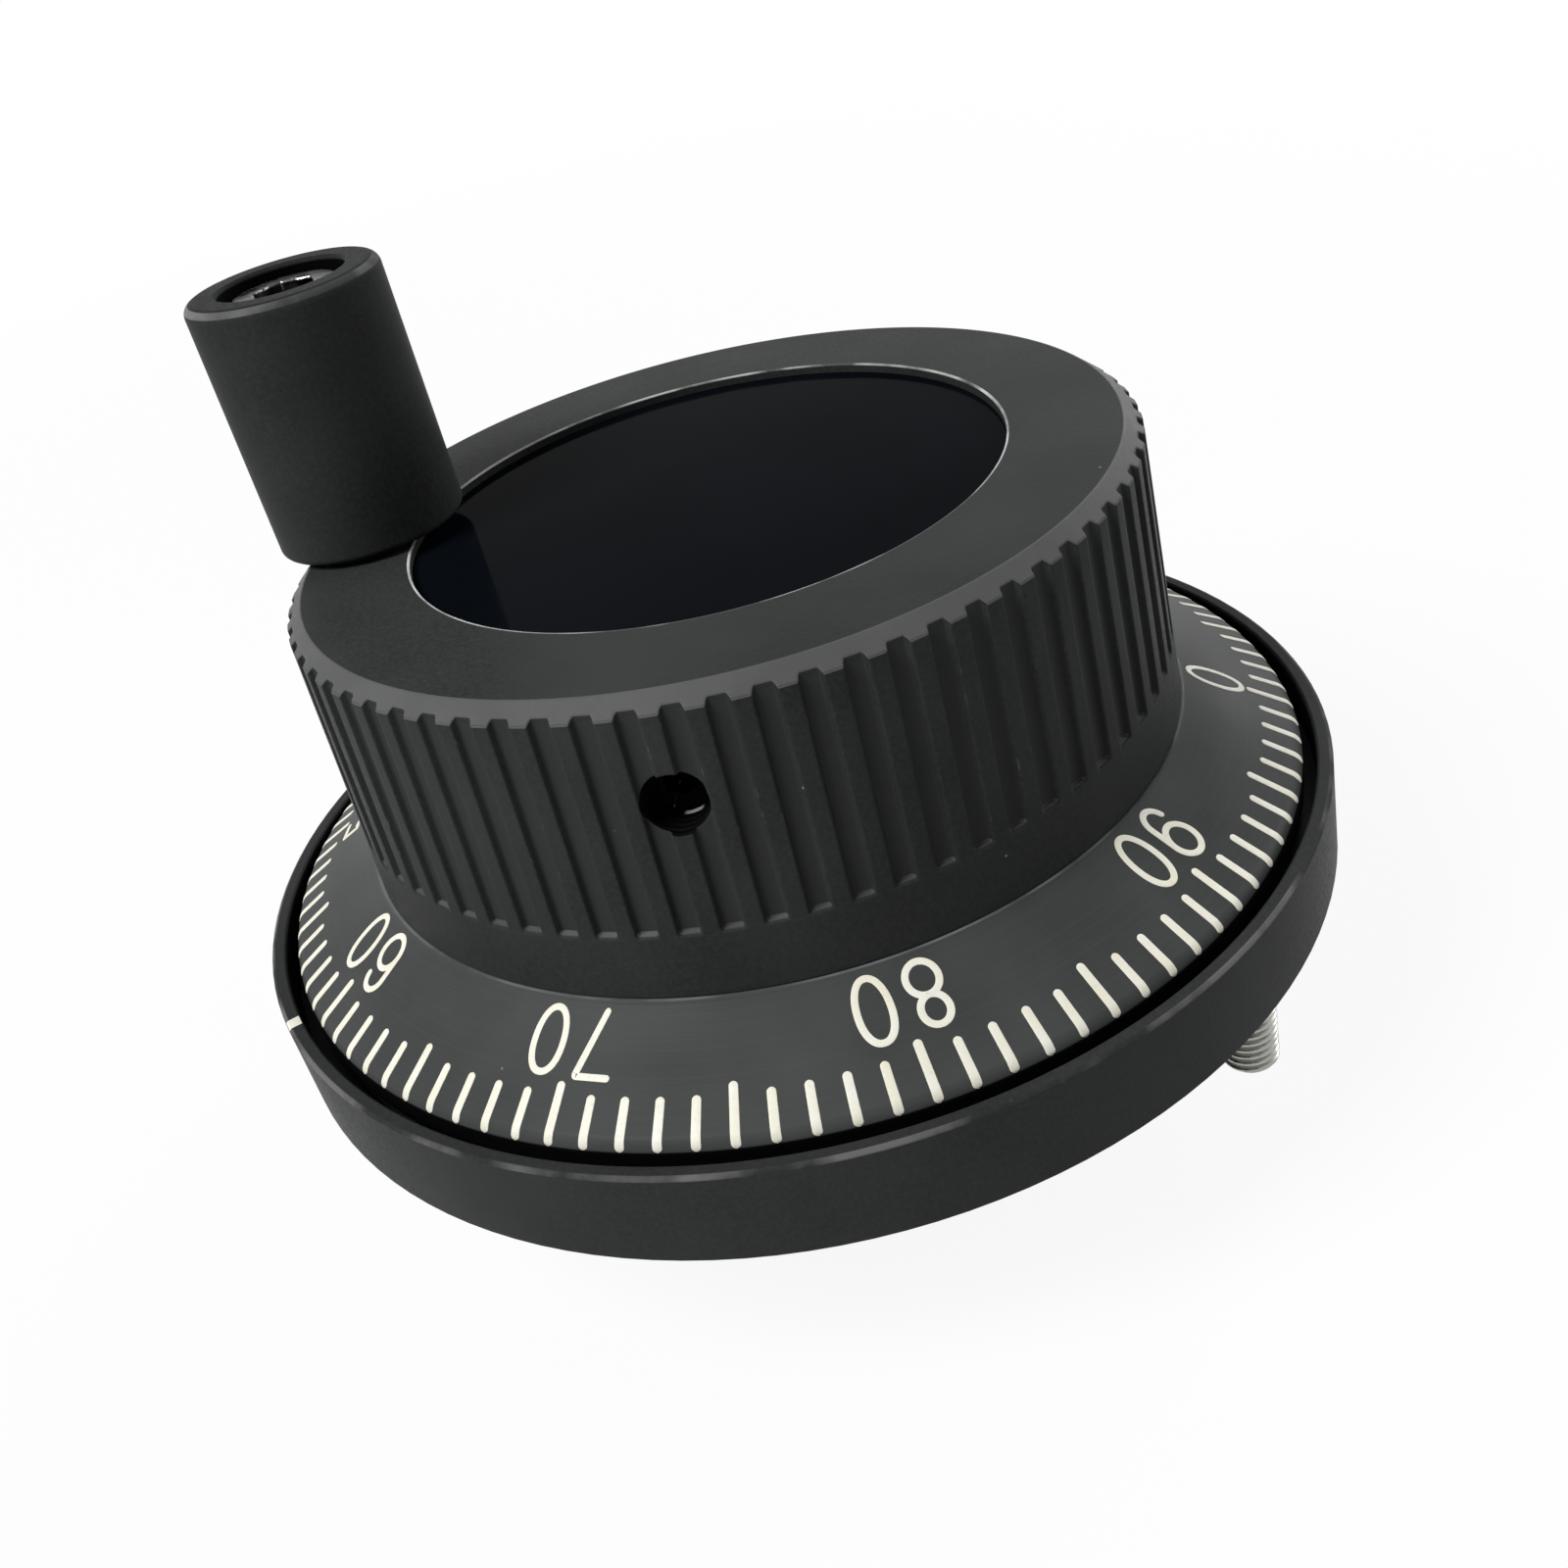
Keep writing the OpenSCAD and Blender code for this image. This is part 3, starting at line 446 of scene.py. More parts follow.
def grip_wear(f):
    """Painted light on the grip: painted shade on the top, the counterbore painted near black as shade,
    and a painted highlight on the rim where r + z is greatest.
    """
    radius, height = f.turn_radius(GRIP_AT), f.height()
    face = f.near(height, GRIP_TOP, 0.06)
    bore = f.times(f.span(radius, 4.62, 4.58), f.span(height, GRIP_TOP - 0.25, GRIP_TOP - 0.3))
    rim = f.near(f.maths("ADD", radius, height), GRIP_R + GRIP_TOP - 0.44, 0.07)
    # painted shade on the top face and in the counterbore, painted highlight on the rim
    return ((face, 0.4, 0.7, (0.012, 0.013, 0.0125)), (bore, 1.0, 1.0, UNLIT),
            (rim, 0.2, 1.0, (0.17, 0.17, 0.17)))


def bezel_wear(f):
    """Zones of the bezel: painted shade on the wall that faces the dial, and the outer top corner
    lighter in patches.
    """
    radius, height = f.turn_radius(), f.height()
    wall = f.times(f.near(radius, BEZEL_R - 1.1, 0.08), f.near(height, BEZEL_TOP - 2, 1.6))
    corner = f.times(f.near(radius, BEZEL_R - 0.1, 0.16), f.near(height, BEZEL_TOP - 0.1, 0.16))
    # painted shade on the wall facing the dial; the outer top corner lighter in patches
    return (wall, 1.0, 1.0, (0.004, 0.004, 0.004)), (corner, 0.0, 0.9, (0.16, 0.16, 0.155))


def turned_anodising(settings, dial):
    """Paler dye over a turned face: faint rings round the spindle, flecks and dust.

    A painted highlight line runs beside the knob, and the dial's side below the marks is painted near
    black as shade.
    """
    base = shade(settings.anodised, 2.2)
    f = Finish("turned_black_anodising", base, 0.36, specular=settings.anodised_gloss)
    radius, height = f.turn_radius(), f.height()
    lathe = f.add("ShaderNodeTexNoise", noise_dimensions="1D")
    f.link(radius, lathe.inputs["W"])
    lathe.inputs["Scale"].default_value = 6
    lathe.inputs["Detail"].default_value = 2
    rings = lathe.outputs["Fac"]
    clouds = f.noise(10, 3)
    edge_normal, edges = f.soft_edges(0.15)
    dye = f.blend(f.span(clouds, 0.3, 0.7), shade(base, 0.85), shade(base, 1.25))
    dye = f.blend(f.span(rings, 0.4, 0.7, 0, 0.12), dye, shade(base, 1.8))
    dye = flecked(f, dye, edges, f.patches(1.2, 5, 0.6, 0.7, 0, 0.5), 0.08)
    # painted highlight: a light line on the land beside the knob
    land = f.times(f.near(radius, KNOB_R + 0.1, 0.09), f.near(height, DIAL_TOP, 0.06))
    dye = f.blend(f.times(land, f.patches(5, 3, 0.4, 0.6, 0.2, 1)), dye, (0.16, 0.16, 0.17))
    mark_foot = float(along_dial(dial, dial.mark_end)[1])
    # painted shade: the dial's side below the marks is made near black
    side = f.times(f.span(height, mark_foot + 0.04, mark_foot - 0.06),
                   f.span(radius, DIAL_R - 0.7, DIAL_R - 0.6))
    f.surface(f.blend(side, dye, UNLIT), f.span(clouds, 0.3, 0.7, 0.32, 0.42),
              f.bump(rings, 0.003, 0.5, f.bump(f.noise(0.35), 0.01, 0.5, edge_normal)))


def gloss_plate(settings):
    """Glossy blue-black centre plate with a hardly seen ripple, haze and wiping marks."""
    base = tuple(settings.plate)
    f = Finish("gloss_centre_plate", base, 0.1, specular=0.003)
    f.surface(f.blend(f.patches(14, 3, 0.35, 0.7), base, shade(base, 1.5)),
              f.span(f.noise(2, 4, (6, 1, 1)), 0.35, 0.7, 0.06, 0.14),
              f.bump(f.noise(6), 0.01, 0.35))


def mark_paint(settings):
    """Cream-white engraving paint: slightly uneven in tone, dull, with pits from the filling."""
    base = tuple(settings.paint)
    f = Finish("engraving_paint", base, 0.5, specular=0.4)
    pits = f.noise(0.22, 3)
    cream = f.blend(f.patches(2.1, 4, 0.3, 0.75), base, (0.88, 0.85, 0.68))
    f.surface(f.blend(f.span(pits, 0.62, 0.8, 0, 0.45), cream, (0.55, 0.53, 0.44)),
              f.span(pits, 0.3, 0.7, 0.42, 0.62), f.bump(pits, 0.03, 0.6))


def machined_metal(name, base, roughness, lay=(1, 1, 1), mark=0.4, worn=0.75, depth=0.01):
    """Bare or plated metal: tool marks drawn out along lay, stains, softened bright edges."""
    f = Finish(name, base, roughness, metallic=1.0)
    marks = f.noise(mark, 4, lay)
    edge_normal, edges = f.soft_edges(0.12)
    tone = f.blend(f.span(marks, 0.3, 0.7), shade(base, worn), base)
    tone = f.blend(f.patches(3, 3, 0.5, 0.8, 0, 0.35), tone, shade(base, 0.55))
    f.surface(f.blend(f.times(edges, 0.5), tone, shade(base, 1.35)),
              f.span(marks, 0.3, 0.75, roughness * 0.75, roughness * 1.4),
              f.bump(marks, depth, 0.6, edge_normal))


def tapped_hole(knob):
    """Tapped hole along the radius at the set screw's angle.

    The thread is a sine of the distance along the hole, painted near black as the shade inside the
    hole, with one painted glint on the hole's floor.
    """
    f = Finish("dark_tapped_hole", (0.004, 0.004, 0.004), 0.4, specular=0.05)
    thread_pitch = 0.5
    out = (cos(knob.screw_turn), sin(knob.screw_turn), 0)
    along = f.vector_maths("DOT_PRODUCT", f.at, out)
    across = f.vector_maths("DOT_PRODUCT", f.at, (-out[1], out[0], 0))
    rings = f.span(f.maths("SINE", f.times(along, 2 * pi / thread_pitch)), -1, 1)
    # painted glint: a small pale spot on the hole's floor
    painted_glint = f.times(f.near(along, 27.4, 0.16), f.near(across, 0.4, 0.5))
    # painted shade: the whole hole near black
    painted_dark = f.blend(f.span(rings, 0.2, 0.9), (0.002, 0.002, 0.002), (0.006, 0.006, 0.006))
    f.surface(f.blend(painted_glint, painted_dark, (0.8, 0.8, 0.78)), f.patches(0.4, 3, 0.3, 0.7, 0.3, 0.5),
              f.bump(rings, 0.03, 0.4))


def worn_screw():
    """Blackened screw head whose edges are rubbed to bare steel in spots."""
    f = Finish("worn_screw_steel", (0.06, 0.06, 0.065), 0.3, metallic=1.0)
    edge_normal, edges = f.soft_edges(0.22)
    oil = f.noise(1.2, 3)
    dark = f.blend(f.span(oil, 0.35, 0.7), (0.03, 0.03, 0.033), (0.11, 0.11, 0.115))
    rubbed = f.times(edges, f.patches(0.7, 2, 0.54, 0.6))
    f.surface(f.blend(rubbed, dark, (0.86, 0.86, 0.84)), f.span(oil, 0.3, 0.7, 0.16, 0.38),
              f.bump(oil, 0.06, 0.7, edge_normal))


def moulded_plastic(name, base, roughness=0.55):
    """Moulded, lightly sparked plastic: pebble grain, soft edges, paler flow patches."""
    f = Finish(name, base, roughness, specular=0.45)
    pebble = f.noise(0.28)
    edge_normal, edges = f.soft_edges(0.2)
    tone = f.blend(f.patches(8, 3, 0.3, 0.7), shade(base, 0.8), shade(base, 1.3))
    f.surface(f.blend(f.times(edges, 0.25), tone, shade(base, 2.2)),
              f.span(pebble, 0.3, 0.7, roughness * 0.85, roughness * 1.15),
              f.bump(pebble, 0.03, 0.7, edge_normal))


def board_laminate():
    """Green circuit board: woven glass under the lacquer, glossy, with paler patches."""
    f = Finish("board_laminate", (0.015, 0.13, 0.06), 0.3)
    threads = []
    for way in "XY":
        wave = f.add("ShaderNodeTexWave", wave_type="BANDS", bands_direction=way)
        f.link(f.at, wave.inputs["Vector"])
        wave.inputs["Scale"].default_value = 0.4
        threads.append(wave.outputs["Fac"])
    cloth = f.times(*threads)
    tone = f.blend(f.span(cloth, 0.1, 0.9, 0, 0.5), (0.012, 0.10, 0.05), (0.03, 0.2, 0.1))
    f.surface(f.blend(f.patches(4, 3, 0.4, 0.7, 0, 0.5), tone, (0.02, 0.16, 0.07)),
              f.span(cloth, 0, 1, 0.24, 0.36), f.bump(cloth, 0.01, 0.4))


# ---------------------------------------------------------------- settings

def mm_setting(name, description, size):
    """Setting for a length, with its default in millimetres."""
    return FloatProperty(name=name, description=description, default=size * MM,
                         unit="LENGTH", precision=5)


def angle_setting(name, description, degrees):
    """Setting for an angle, with its default in degrees."""
    return FloatProperty(name=name, description=description, default=radians(degrees),
                         subtype="ANGLE")


def colour_setting(name, description, colour):
    return FloatVectorProperty(name=name, description=description, default=colour,
                               subtype="COLOR", min=0, max=1)


def amount_setting(name, description, value):
    return FloatProperty(name=name, description=description, default=value, min=0)


def in_millimetres(settings):
    """Values of a settings group, with its lengths in millimetres."""
    values = {}
    for key in settings.__annotations__:
        value = getattr(settings, key)
        is_length = settings.bl_rna.properties[key].unit == "LENGTH"
        values[key] = value / MM if is_length else value
    return SimpleNamespace(**values)


class HandwheelKnobSettings(PropertyGroup):
    groove_count: IntProperty(name="Grooves", description="Number of finger grooves",
                              default=72, min=36, max=90)
    groove_width: mm_setting("Groove width", "Width of a groove at the knob's surface", 1.5)
    groove_depth: mm_setting("Groove depth", "Depth of a groove", 0.42)
    neck_height: mm_setting("Neck height", "Height of the plain neck below the grooves", 4.6)
    bevel_width: mm_setting("Bevel width", "Width of the bevel round the top", 1.2)
    bevel_height: mm_setting("Bevel height", "Height of the bevel round the top", 1.0)
    taper: mm_setting("Taper", "Radius the knob's wall loses between its foot and the bevel", 0.6)
    edge_radius: mm_setting("Edge radius", "Rounding of the machined edges", 0.12)
    screw_turn: angle_setting("Set screw angle", "Angle of the set screw's hole", 147)
    screw_height: mm_setting("Set screw height", "Height of the hole over the dial", 13.4)
    screw_diameter: mm_setting("Set screw diameter", "Diameter of the set screw's hole", 4.04)


class HandwheelDialSettings(PropertyGroup):
    graduations: IntProperty(name="Graduations", description="Marks in a full turn",
                             default=100, min=10, max=200)
    zero_turn: angle_setting("Zero angle", "Angle of the mark numbered 0, at rest", 237.02)
    slope: angle_setting("Slope", "Slope of the cone", 30)
    edge_radius: mm_setting("Edge radius", "Rounding between the cone and the dial's side", 1.3)
    mark_width: mm_setting("Mark width", "Width of a graduation mark", 0.53)
    mark_end: mm_setting("Mark end", "Where a mark ends, down the surface from the knob", 9.3)
    short_mark: mm_setting("Short mark", "Length of a single graduation", 3.3)
    long_mark: mm_setting("Long mark", "Length of every fifth graduation", 3.95)
    digit_height: mm_setting("Digit height", "Height of a digit's centre line", 4.13)
    digit_width: mm_setting("Digit width", "Width of a digit's centre line", 2.06)
    digit_middle: mm_setting("Digit place", "Middle of the digits, down from the knob", 2.91)
    digit_spacing: mm_setting("Digit spacing", "Distance between the middles of two digits", 3.38)
    digit_stroke: mm_setting("Digit stroke", "Width of a digit's stroke", 0.46)
    index_width: mm_setting("Index width", "Width of the index line on the bezel", 1.04)
    paint_height: mm_setting("Paint height", "How far the paint stands above the metal", 0.03)


class HandwheelThreadSettings(PropertyGroup):
    pitch: mm_setting("Pitch", "Pitch of the stud's thread", 0.6)
    depth: mm_setting("Depth", "Depth of the stud's thread", 0.38)
    diameter: mm_setting("Diameter", "Diameter over the stud's thread", 4)
    root_diameter: mm_setting("Root diameter", "Diameter of the stud's pressed-in root", 5.2)


class HandwheelFinishSettings(PropertyGroup):
    anodised: colour_setting("Anodising", "Colour of the anodised metal", (0.026, 0.028, 0.027))
    anodised_gloss: amount_setting("Anodising gloss", "Specular level of the anodised metal", 0.03)
    plate: colour_setting("Plate", "Colour of the centre plate", (0.0024, 0.0033, 0.0047))
    paint: colour_setting("Paint", "Colour of the marks", (0.94, 0.93, 0.84))
    zinc: colour_setting("Zinc", "Colour of the plated studs", (0.38, 0.38, 0.355))


class HandwheelStageSettings(PropertyGroup):
    azimuth: angle_setting("Camera azimuth", "Direction in which the camera stands", 158.82)
    elevation: angle_setting("Camera elevation", "How steeply the camera looks down", 31.777)
    roll: angle_setting("Camera roll", "Turn of the camera round its own axis", -14.641)
    place: FloatVectorProperty(name="Camera place", description="Where the camera stands",
                               default=(-0.099156, 0.038316, 0.072804), subtype="XYZ",
                               unit="LENGTH", precision=6)
    lens: amount_setting("Lens", "Focal length on a 36 mm wide sensor, in millimetres", 37.526)
    key_power: amount_setting("Key power", "Power of the main lamp", 3.6)
    side_power: amount_setting("Side power", "Power of the lamp at the side", 1.2)
    back_power: amount_setting("Back power", "Power of the lamp behind", 1.3)
    ambient: amount_setting("Ambient", "Strength of the plain surrounding light", 0.02)


# ---------------------------------------------------------------- stage

LAMP_DISTANCE = 0.6
LAMP_SIZE = 0.25
LAMP_TARGET = Vector((0, 0, 0.015))
FLOOR_R = 6000
FLOOR_GAP = 0.05


def way_to(azimuth, elevation):
    """Unit vector that points to an azimuth and elevation."""
    return Vector((cos(elevation) * cos(azimuth), cos(elevation) * sin(azimuth), sin(elevation)))


def area_lamp(name, azimuth, elevation, power):
    """Square soft lamp in a direction from the target, facing it."""
    lamp = bpy.data.lights.new(name, "AREA")
    lamp.shape = "SQUARE"
    lamp.size = LAMP_SIZE
    lamp.energy = power
    holder = bpy.data.objects.new(name, lamp)
    bpy.context.scene.collection.objects.link(holder)
    way = way_to(azimuth, elevation)
    holder.location = LAMP_TARGET + way * LAMP_DISTANCE
    holder.rotation_euler = way.to_track_quat("Z", "Y").to_euler()


class HANDWHEEL_OT_stage(Operator):
    """Set up the camera, the pale floor, the plain surroundings and three soft lamps"""
    bl_idname = "handwheel.stage"
    bl_label = "Stage"

    def execute(self, context):
        settings = context.scene.handwheel_stage
        self.camera(context, settings)
        for name, turn, elevation in (("key", -60, 52), ("side", 100, 20), ("back", 140, 20)):
            area_lamp(name + "_lamp", settings.azimuth + radians(turn), radians(elevation),
                      getattr(settings, name + "_power"))
        self.surroundings(context, settings)
        self.floor()
        context.scene.view_settings.view_transform = "Standard"
        return {"FINISHED"}

    def camera(self, context, settings):
        """Camera that looks along its direction and is then rolled round it."""
        back = way_to(settings.azimuth, settings.elevation)
        right = Vector((0, 0, 1)).cross(back).normalized()
        view = Matrix((right, back.cross(right), back)).transposed()
        view = view @ Matrix.Rotation(settings.roll, 3, "Z")
        camera = bpy.data.cameras.new("camera")
        camera.lens = settings.lens
        camera.sensor_width = 36
        camera.clip_start = 0.001
        holder = bpy.data.objects.new("camera", camera)
        holder.matrix_world = Matrix.Translation(settings.place) @ view.to_4x4()
        context.scene.collection.objects.link(holder)
        context.scene.camera = holder

    def surroundings(self, context, settings):
        """White where the camera, a reflection or glass sees it, and a plain even light else."""
        world = bpy.data.worlds.new("surroundings")
        context.scene.world = world
        world.use_nodes = True
        nodes = Nodes(world.node_tree)
        background = nodes.tree.nodes["Background"]
        background.inputs["Color"].default_value = (1, 1, 1, 1)
        strength = nodes.span(nodes.seen(), 0, 1, settings.ambient, 1)
        nodes.link(strength, background.inputs["Strength"])

    def floor(self):
        """Wide pale disc under the handwheel, mostly plain white.

        A share near the handwheel takes its shadow and fades out with distance.
        """
        angle = full_turn(96)
        foot = np.full(len(angle), CAD_BOX[0][2] / MM - FLOOR_GAP)
        ring = np.stack([FLOOR_R * np.cos(angle), FLOOR_R * np.sin(angle), foot], axis=1)
        floor = mesh_object("floor", ring, [np.arange(len(angle))[None]])
        material = bpy.data.materials.new("pale_floor")
        material.use_nodes = True
        nodes = Nodes(material.node_tree)
        nodes.tree.nodes.remove(nodes.tree.nodes["Principled BSDF"])
        distance = nodes.vector_maths("LENGTH", nodes.place())
        white = nodes.times(nodes.seen(), nodes.span(distance, 120, 450, 0.92, 1))
        paint = nodes.add("ShaderNodeBsdfDiffuse")
        paint.inputs["Color"].default_value = (0.9, 0.9, 0.9, 1)
        glow = nodes.add("ShaderNodeEmission")
        glow.inputs["Strength"].default_value = 1
        mix = nodes.add("ShaderNodeMixShader")
        for value, socket in zip((white, paint.outputs[0], glow.outputs[0]), mix.inputs):
            nodes.link(value, socket)
        nodes.link(mix.outputs[0], nodes.tree.nodes["Material Output"].inputs["Surface"])
        floor.data.materials.append(material)


# ---------------------------------------------------------------- knob

RECESS_PLAY = 0.1
KNOB_CEILING_T = 2.6
SKIRT_R = 23.6
POLE_GAP = 0.5


class HANDWHEEL_OT_knob(Operator):
    """Knob with rounded finger grooves that run out on its bevel, and its set screw's hole"""
    bl_idname = "handwheel.knob"
    bl_label = "Knob"

    def execute(self, context):
        size = in_millimetres(context.scene.handwheel_knob)
        piece = self.shell(size, self.outline(size), *self.grooves(size))
        piece.data.materials.append(bpy.data.materials["knob_black_anodising"])
        self.drill(piece, size)
        finish_piece(piece, "handwheel", "knob_black_anodising", "black_anodised", "knob")
        return {"FINISHED"}

    def outline(self, size):
        """Half section in (r, z), from the axis under the ceiling round to the recess floor."""
        recess = PLATE_R + RECESS_PLAY
        ceiling = PLATE_FOOT - KNOB_CEILING_T
        wall_top = KNOB_TOP - size.bevel_height
        rim = self.wall(size, wall_top)
        bevel_top = rim - size.bevel_width
        outline = rounded([
            (POLE_GAP, ceiling, 0), (SKIRT_R, ceiling, 0), (SKIRT_R, DIAL_TOP + 0.4, 0),
            (SKIRT_R + 0.4, DIAL_TOP, 0), (KNOB_R, DIAL_TOP, 0.12),
            (rim, wall_top, size.edge_radius), (bevel_top, KNOB_TOP, size.edge_radius),
            (recess, KNOB_TOP, 0.1), (recess, PLATE_FOOT, 0), (POLE_GAP, PLATE_FOOT, 0)],
            closed=False)
        step = np.array([-0.3, -0.16, -0.13, -0.1, 0, 0.1, 0.13, 0.16, 0.3])
        height = step + DIAL_TOP + size.neck_height
        wall = np.stack([self.wall(size, height), height], axis=1)
        start = np.array([rim, wall_top])
        slant = np.linspace(0.04, 0.6, 12)[:, None]
        run_out = start + slant * (np.array([bevel_top, KNOB_TOP]) - start)
        split = self.after(outline, DIAL_TOP + 1)
        turn = self.after(outline, wall_top + size.edge_radius)
        return np.concatenate([outline[:split], wall, outline[split:turn], run_out, outline[turn:]])

    def wall(self, size, height):
        """Radius of the wall at a height: R - t (z - foot) / (wall top - foot), taper t."""
        rise = KNOB_TOP - size.bevel_height - DIAL_TOP
        return KNOB_R - size.taper * (height - DIAL_TOP) / rise

    def after(self, outline, height):
        """Index of the first point on the outer side that lies above a height."""
        return int(np.flatnonzero((outline[:, 0] > KNOB_R - 2) & (outline[:, 1] > height))[0])

    def grooves(self, size):
        """Angles round the knob, dense at each groove's edges, and the grooves' depth there.

        Across a groove the depth is a trapezium: full on the floor, none beyond the top edges,
        straight between, with both corners rounded.
        """
        ease = 0.12
        half_top = size.groove_width / 2
        half_floor = half_top * 0.74
        side = np.concatenate([half_floor + np.array([-0.07, -0.01, 0.05]),
                               half_top + np.array([-0.05, 0.01, 0.07, 0.2])])
        half_pitch = pi * KNOB_R / size.groove_count
        across = np.concatenate([-side[::-1], [0], side, [half_pitch]])
        depth = size.groove_depth * (half_top - np.abs(across)) / (half_top - half_floor)
        depth = -softer_min(-softer_min(depth, size.groove_depth, ease), 0 * depth, ease)
        middle = size.screw_turn + (np.arange(size.groove_count) + 0.5) * 2 * pi / size.groove_count
        angle = middle[:, None] + across / KNOB_R
        return angle.ravel(), np.tile(depth, size.groove_count)

    def shell(self, size, outline, angle, depth):
        """Point (a, k) = (R cos a, R sin a, z_k), R the smaller of r_k and the groove's floor."""
        radius, height = outline[:, 0], outline[:, 1]
        ledge = DIAL_TOP + size.neck_height
        share = np.clip((height - ledge + 0.13) / 0.26, 0, 1)
        outer = radius > KNOB_R - 1.9
        limit = self.wall(size, height) - depth[:, None] * (share * outer)
        reach = np.broadcast_to(radius, limit.shape)
        cut = np.where(outer & (height > ledge - 0.14), softer_min(reach, limit, 0.03), reach)
        points = np.stack([cut * np.cos(angle)[:, None], cut * np.sin(angle)[:, None],
                           np.broadcast_to(height, cut.shape)], axis=-1).reshape(-1, 3)
        poles = np.array([[0, 0, height[0]], [0, 0, height[-1]]])
        return mesh_object("knob_shell", np.concatenate([points, poles]), pole_faces(*cut.shape))

    def drill(self, piece, size):
        """Cut the set screw's hole: a plain cylinder along the radius."""
        radius = size.screw_diameter / 2
        inner, outer, axis = 22.5, KNOB_R + 0.5, 0.05
        outline = np.array([[axis, inner], [radius, inner], [radius, outer], [axis, outer]])
        cutter = turned("cutter", outline, 96)
        cutter.data.materials.append(bpy.data.materials["dark_tapped_hole"])
        height = (DIAL_TOP + size.screw_height) * MM
        cutter.data.transform(Matrix.Translation((0, 0, height))
                              @ Matrix.Rotation(size.screw_turn, 4, "Z")
                              @ Matrix.Rotation(pi / 2, 4, "Y"))
        cutting = piece.modifiers.new("hole", "BOOLEAN")
        cutting.object = cutter
        cutting.solver = "EXACT"
        cutting.material_mode = "TRANSFER"
        evaluated = piece.evaluated_get(bpy.context.evaluated_depsgraph_get())
        drilled = bpy.data.meshes.new_from_object(evaluated)
        piece.modifiers.clear()
        piece.data = drilled
        drilled.name = "knob_shell"
        bpy.data.objects.remove(cutter)
        drilled.set_sharp_from_angle(angle=SHARP_ANGLE)


# ---------------------------------------------------------------- dial

DIAL_SIDE_T = 1.8
DIAL_CONE_T = 2.1
DIAL_FLANGE_T = 2.2
DIAL_IN_R = 14


def dial_section(size):
    """Length of the cone down its slope, length of its rounded edge, height of the side's top."""
    edge, slope = size.edge_radius, size.slope
    cone_length = (DIAL_R - edge + edge * sin(slope) - KNOB_R) / cos(slope)
    round_length = edge * (pi / 2 - slope)
    side = DIAL_TOP - (DIAL_R - KNOB_R) * tan(slope) - edge * tan((pi / 2 - slope) / 2)
    return cone_length, round_length, side


def along_dial(size, distance):
    """Radius, height and normal of the dial's surface at a distance down it from the knob.

    On the cone, r = knob radius + s cos(slope) and z = top - s sin(slope). On the rounded edge,
    the point turns about the edge's centre through s / radius. Below it the side is upright.
    """
    edge, slope = size.edge_radius, size.slope
    cone_length, round_length, side = dial_section(size)
    on_cone = np.minimum(distance, cone_length)
    on_round = np.clip(distance - cone_length, 0, round_length)
    below = np.clip(distance - cone_length - round_length, 0, None)
    lean = pi / 2 - slope - on_round / edge
    radius = KNOB_R + on_cone * cos(slope) + edge * (np.cos(lean) - sin(slope))
    height = side + (cone_length - on_cone) * sin(slope) + edge * np.sin(lean) - below
    return radius, height, np.cos(lean), np.sin(lean)


class HANDWHEEL_OT_dial(Operator):
    """Dial turned with a true round between its cone and its side"""
    bl_idname = "handwheel.dial"
    bl_label = "Dial"

    def execute(self, context):
        size = in_millimetres(context.scene.handwheel_dial)
        cone_length, round_length, side = dial_section(size)
        distance = np.concatenate([[cone_length + round_length + 0.05],
                                   np.linspace(cone_length + round_length, cone_length, 17),
                                   [cone_length - 0.05, 4.0, 0.4]])
        radius, height, _, _ = along_dial(size, distance)
        land = np.array([(0.27, -0.1), (0.24, -0.03), (0.2, 0), (0, 0)]) + (KNOB_R, DIAL_TOP)
        run = tan(size.slope)
        wall = DIAL_R - DIAL_SIDE_T
        under = DIAL_TOP - (wall - KNOB_R) * run - DIAL_CONE_T
        flange = DIAL_TOP - DIAL_FLANGE_T
        outline = rounded([
            (DIAL_IN_R, DIAL_TOP, 0), (DIAL_IN_R, flange, 0),
            (KNOB_R + (DIAL_FLANGE_T - DIAL_CONE_T) / run, flange, 0), (wall, under, 0),
            (wall, DIAL_FOOT, 0), (DIAL_R, DIAL_FOOT, 0.25), (DIAL_R, side - 0.3, 0)],
            closed=False)
        outline = np.concatenate([outline, np.stack([radius, height], axis=1), land])
        piece = turned("dial_shell", outline, 720)
        finish_piece(piece, "handwheel", "turned_black_anodising", "black_anodised", "dial")
        return {"FINISHED"}


# ---------------------------------------------------------------- dial marks

BEAD_ACROSS = np.array([-1, -0.94, -0.75, 0.75, 0.94, 1, 1, -1])
BEAD_LIFT = np.array([0, 0.7, 1, 1, 0.7, 0, -1, -1])


def ellipse(x, y, wide, tall, start, end, count=28, square=2.0):
    """Arc of a superellipse about (x, y) from angle start to end in degrees.

    A square above 2 flattens its sides.
    """
    angle = np.radians(np.linspace(start, end, count))
    power = 2 / square
    return np.stack([x + wide * np.sign(np.cos(angle)) * np.abs(np.cos(angle)) ** power,
                     y + tall * np.sign(np.sin(angle)) * np.abs(np.sin(angle)) ** power], axis=1)


def bent(*corners):
    """Stroke through corners (x, y, radius), rounded where the radius is above 0."""
    return rounded(corners, 4, 0, closed=False)


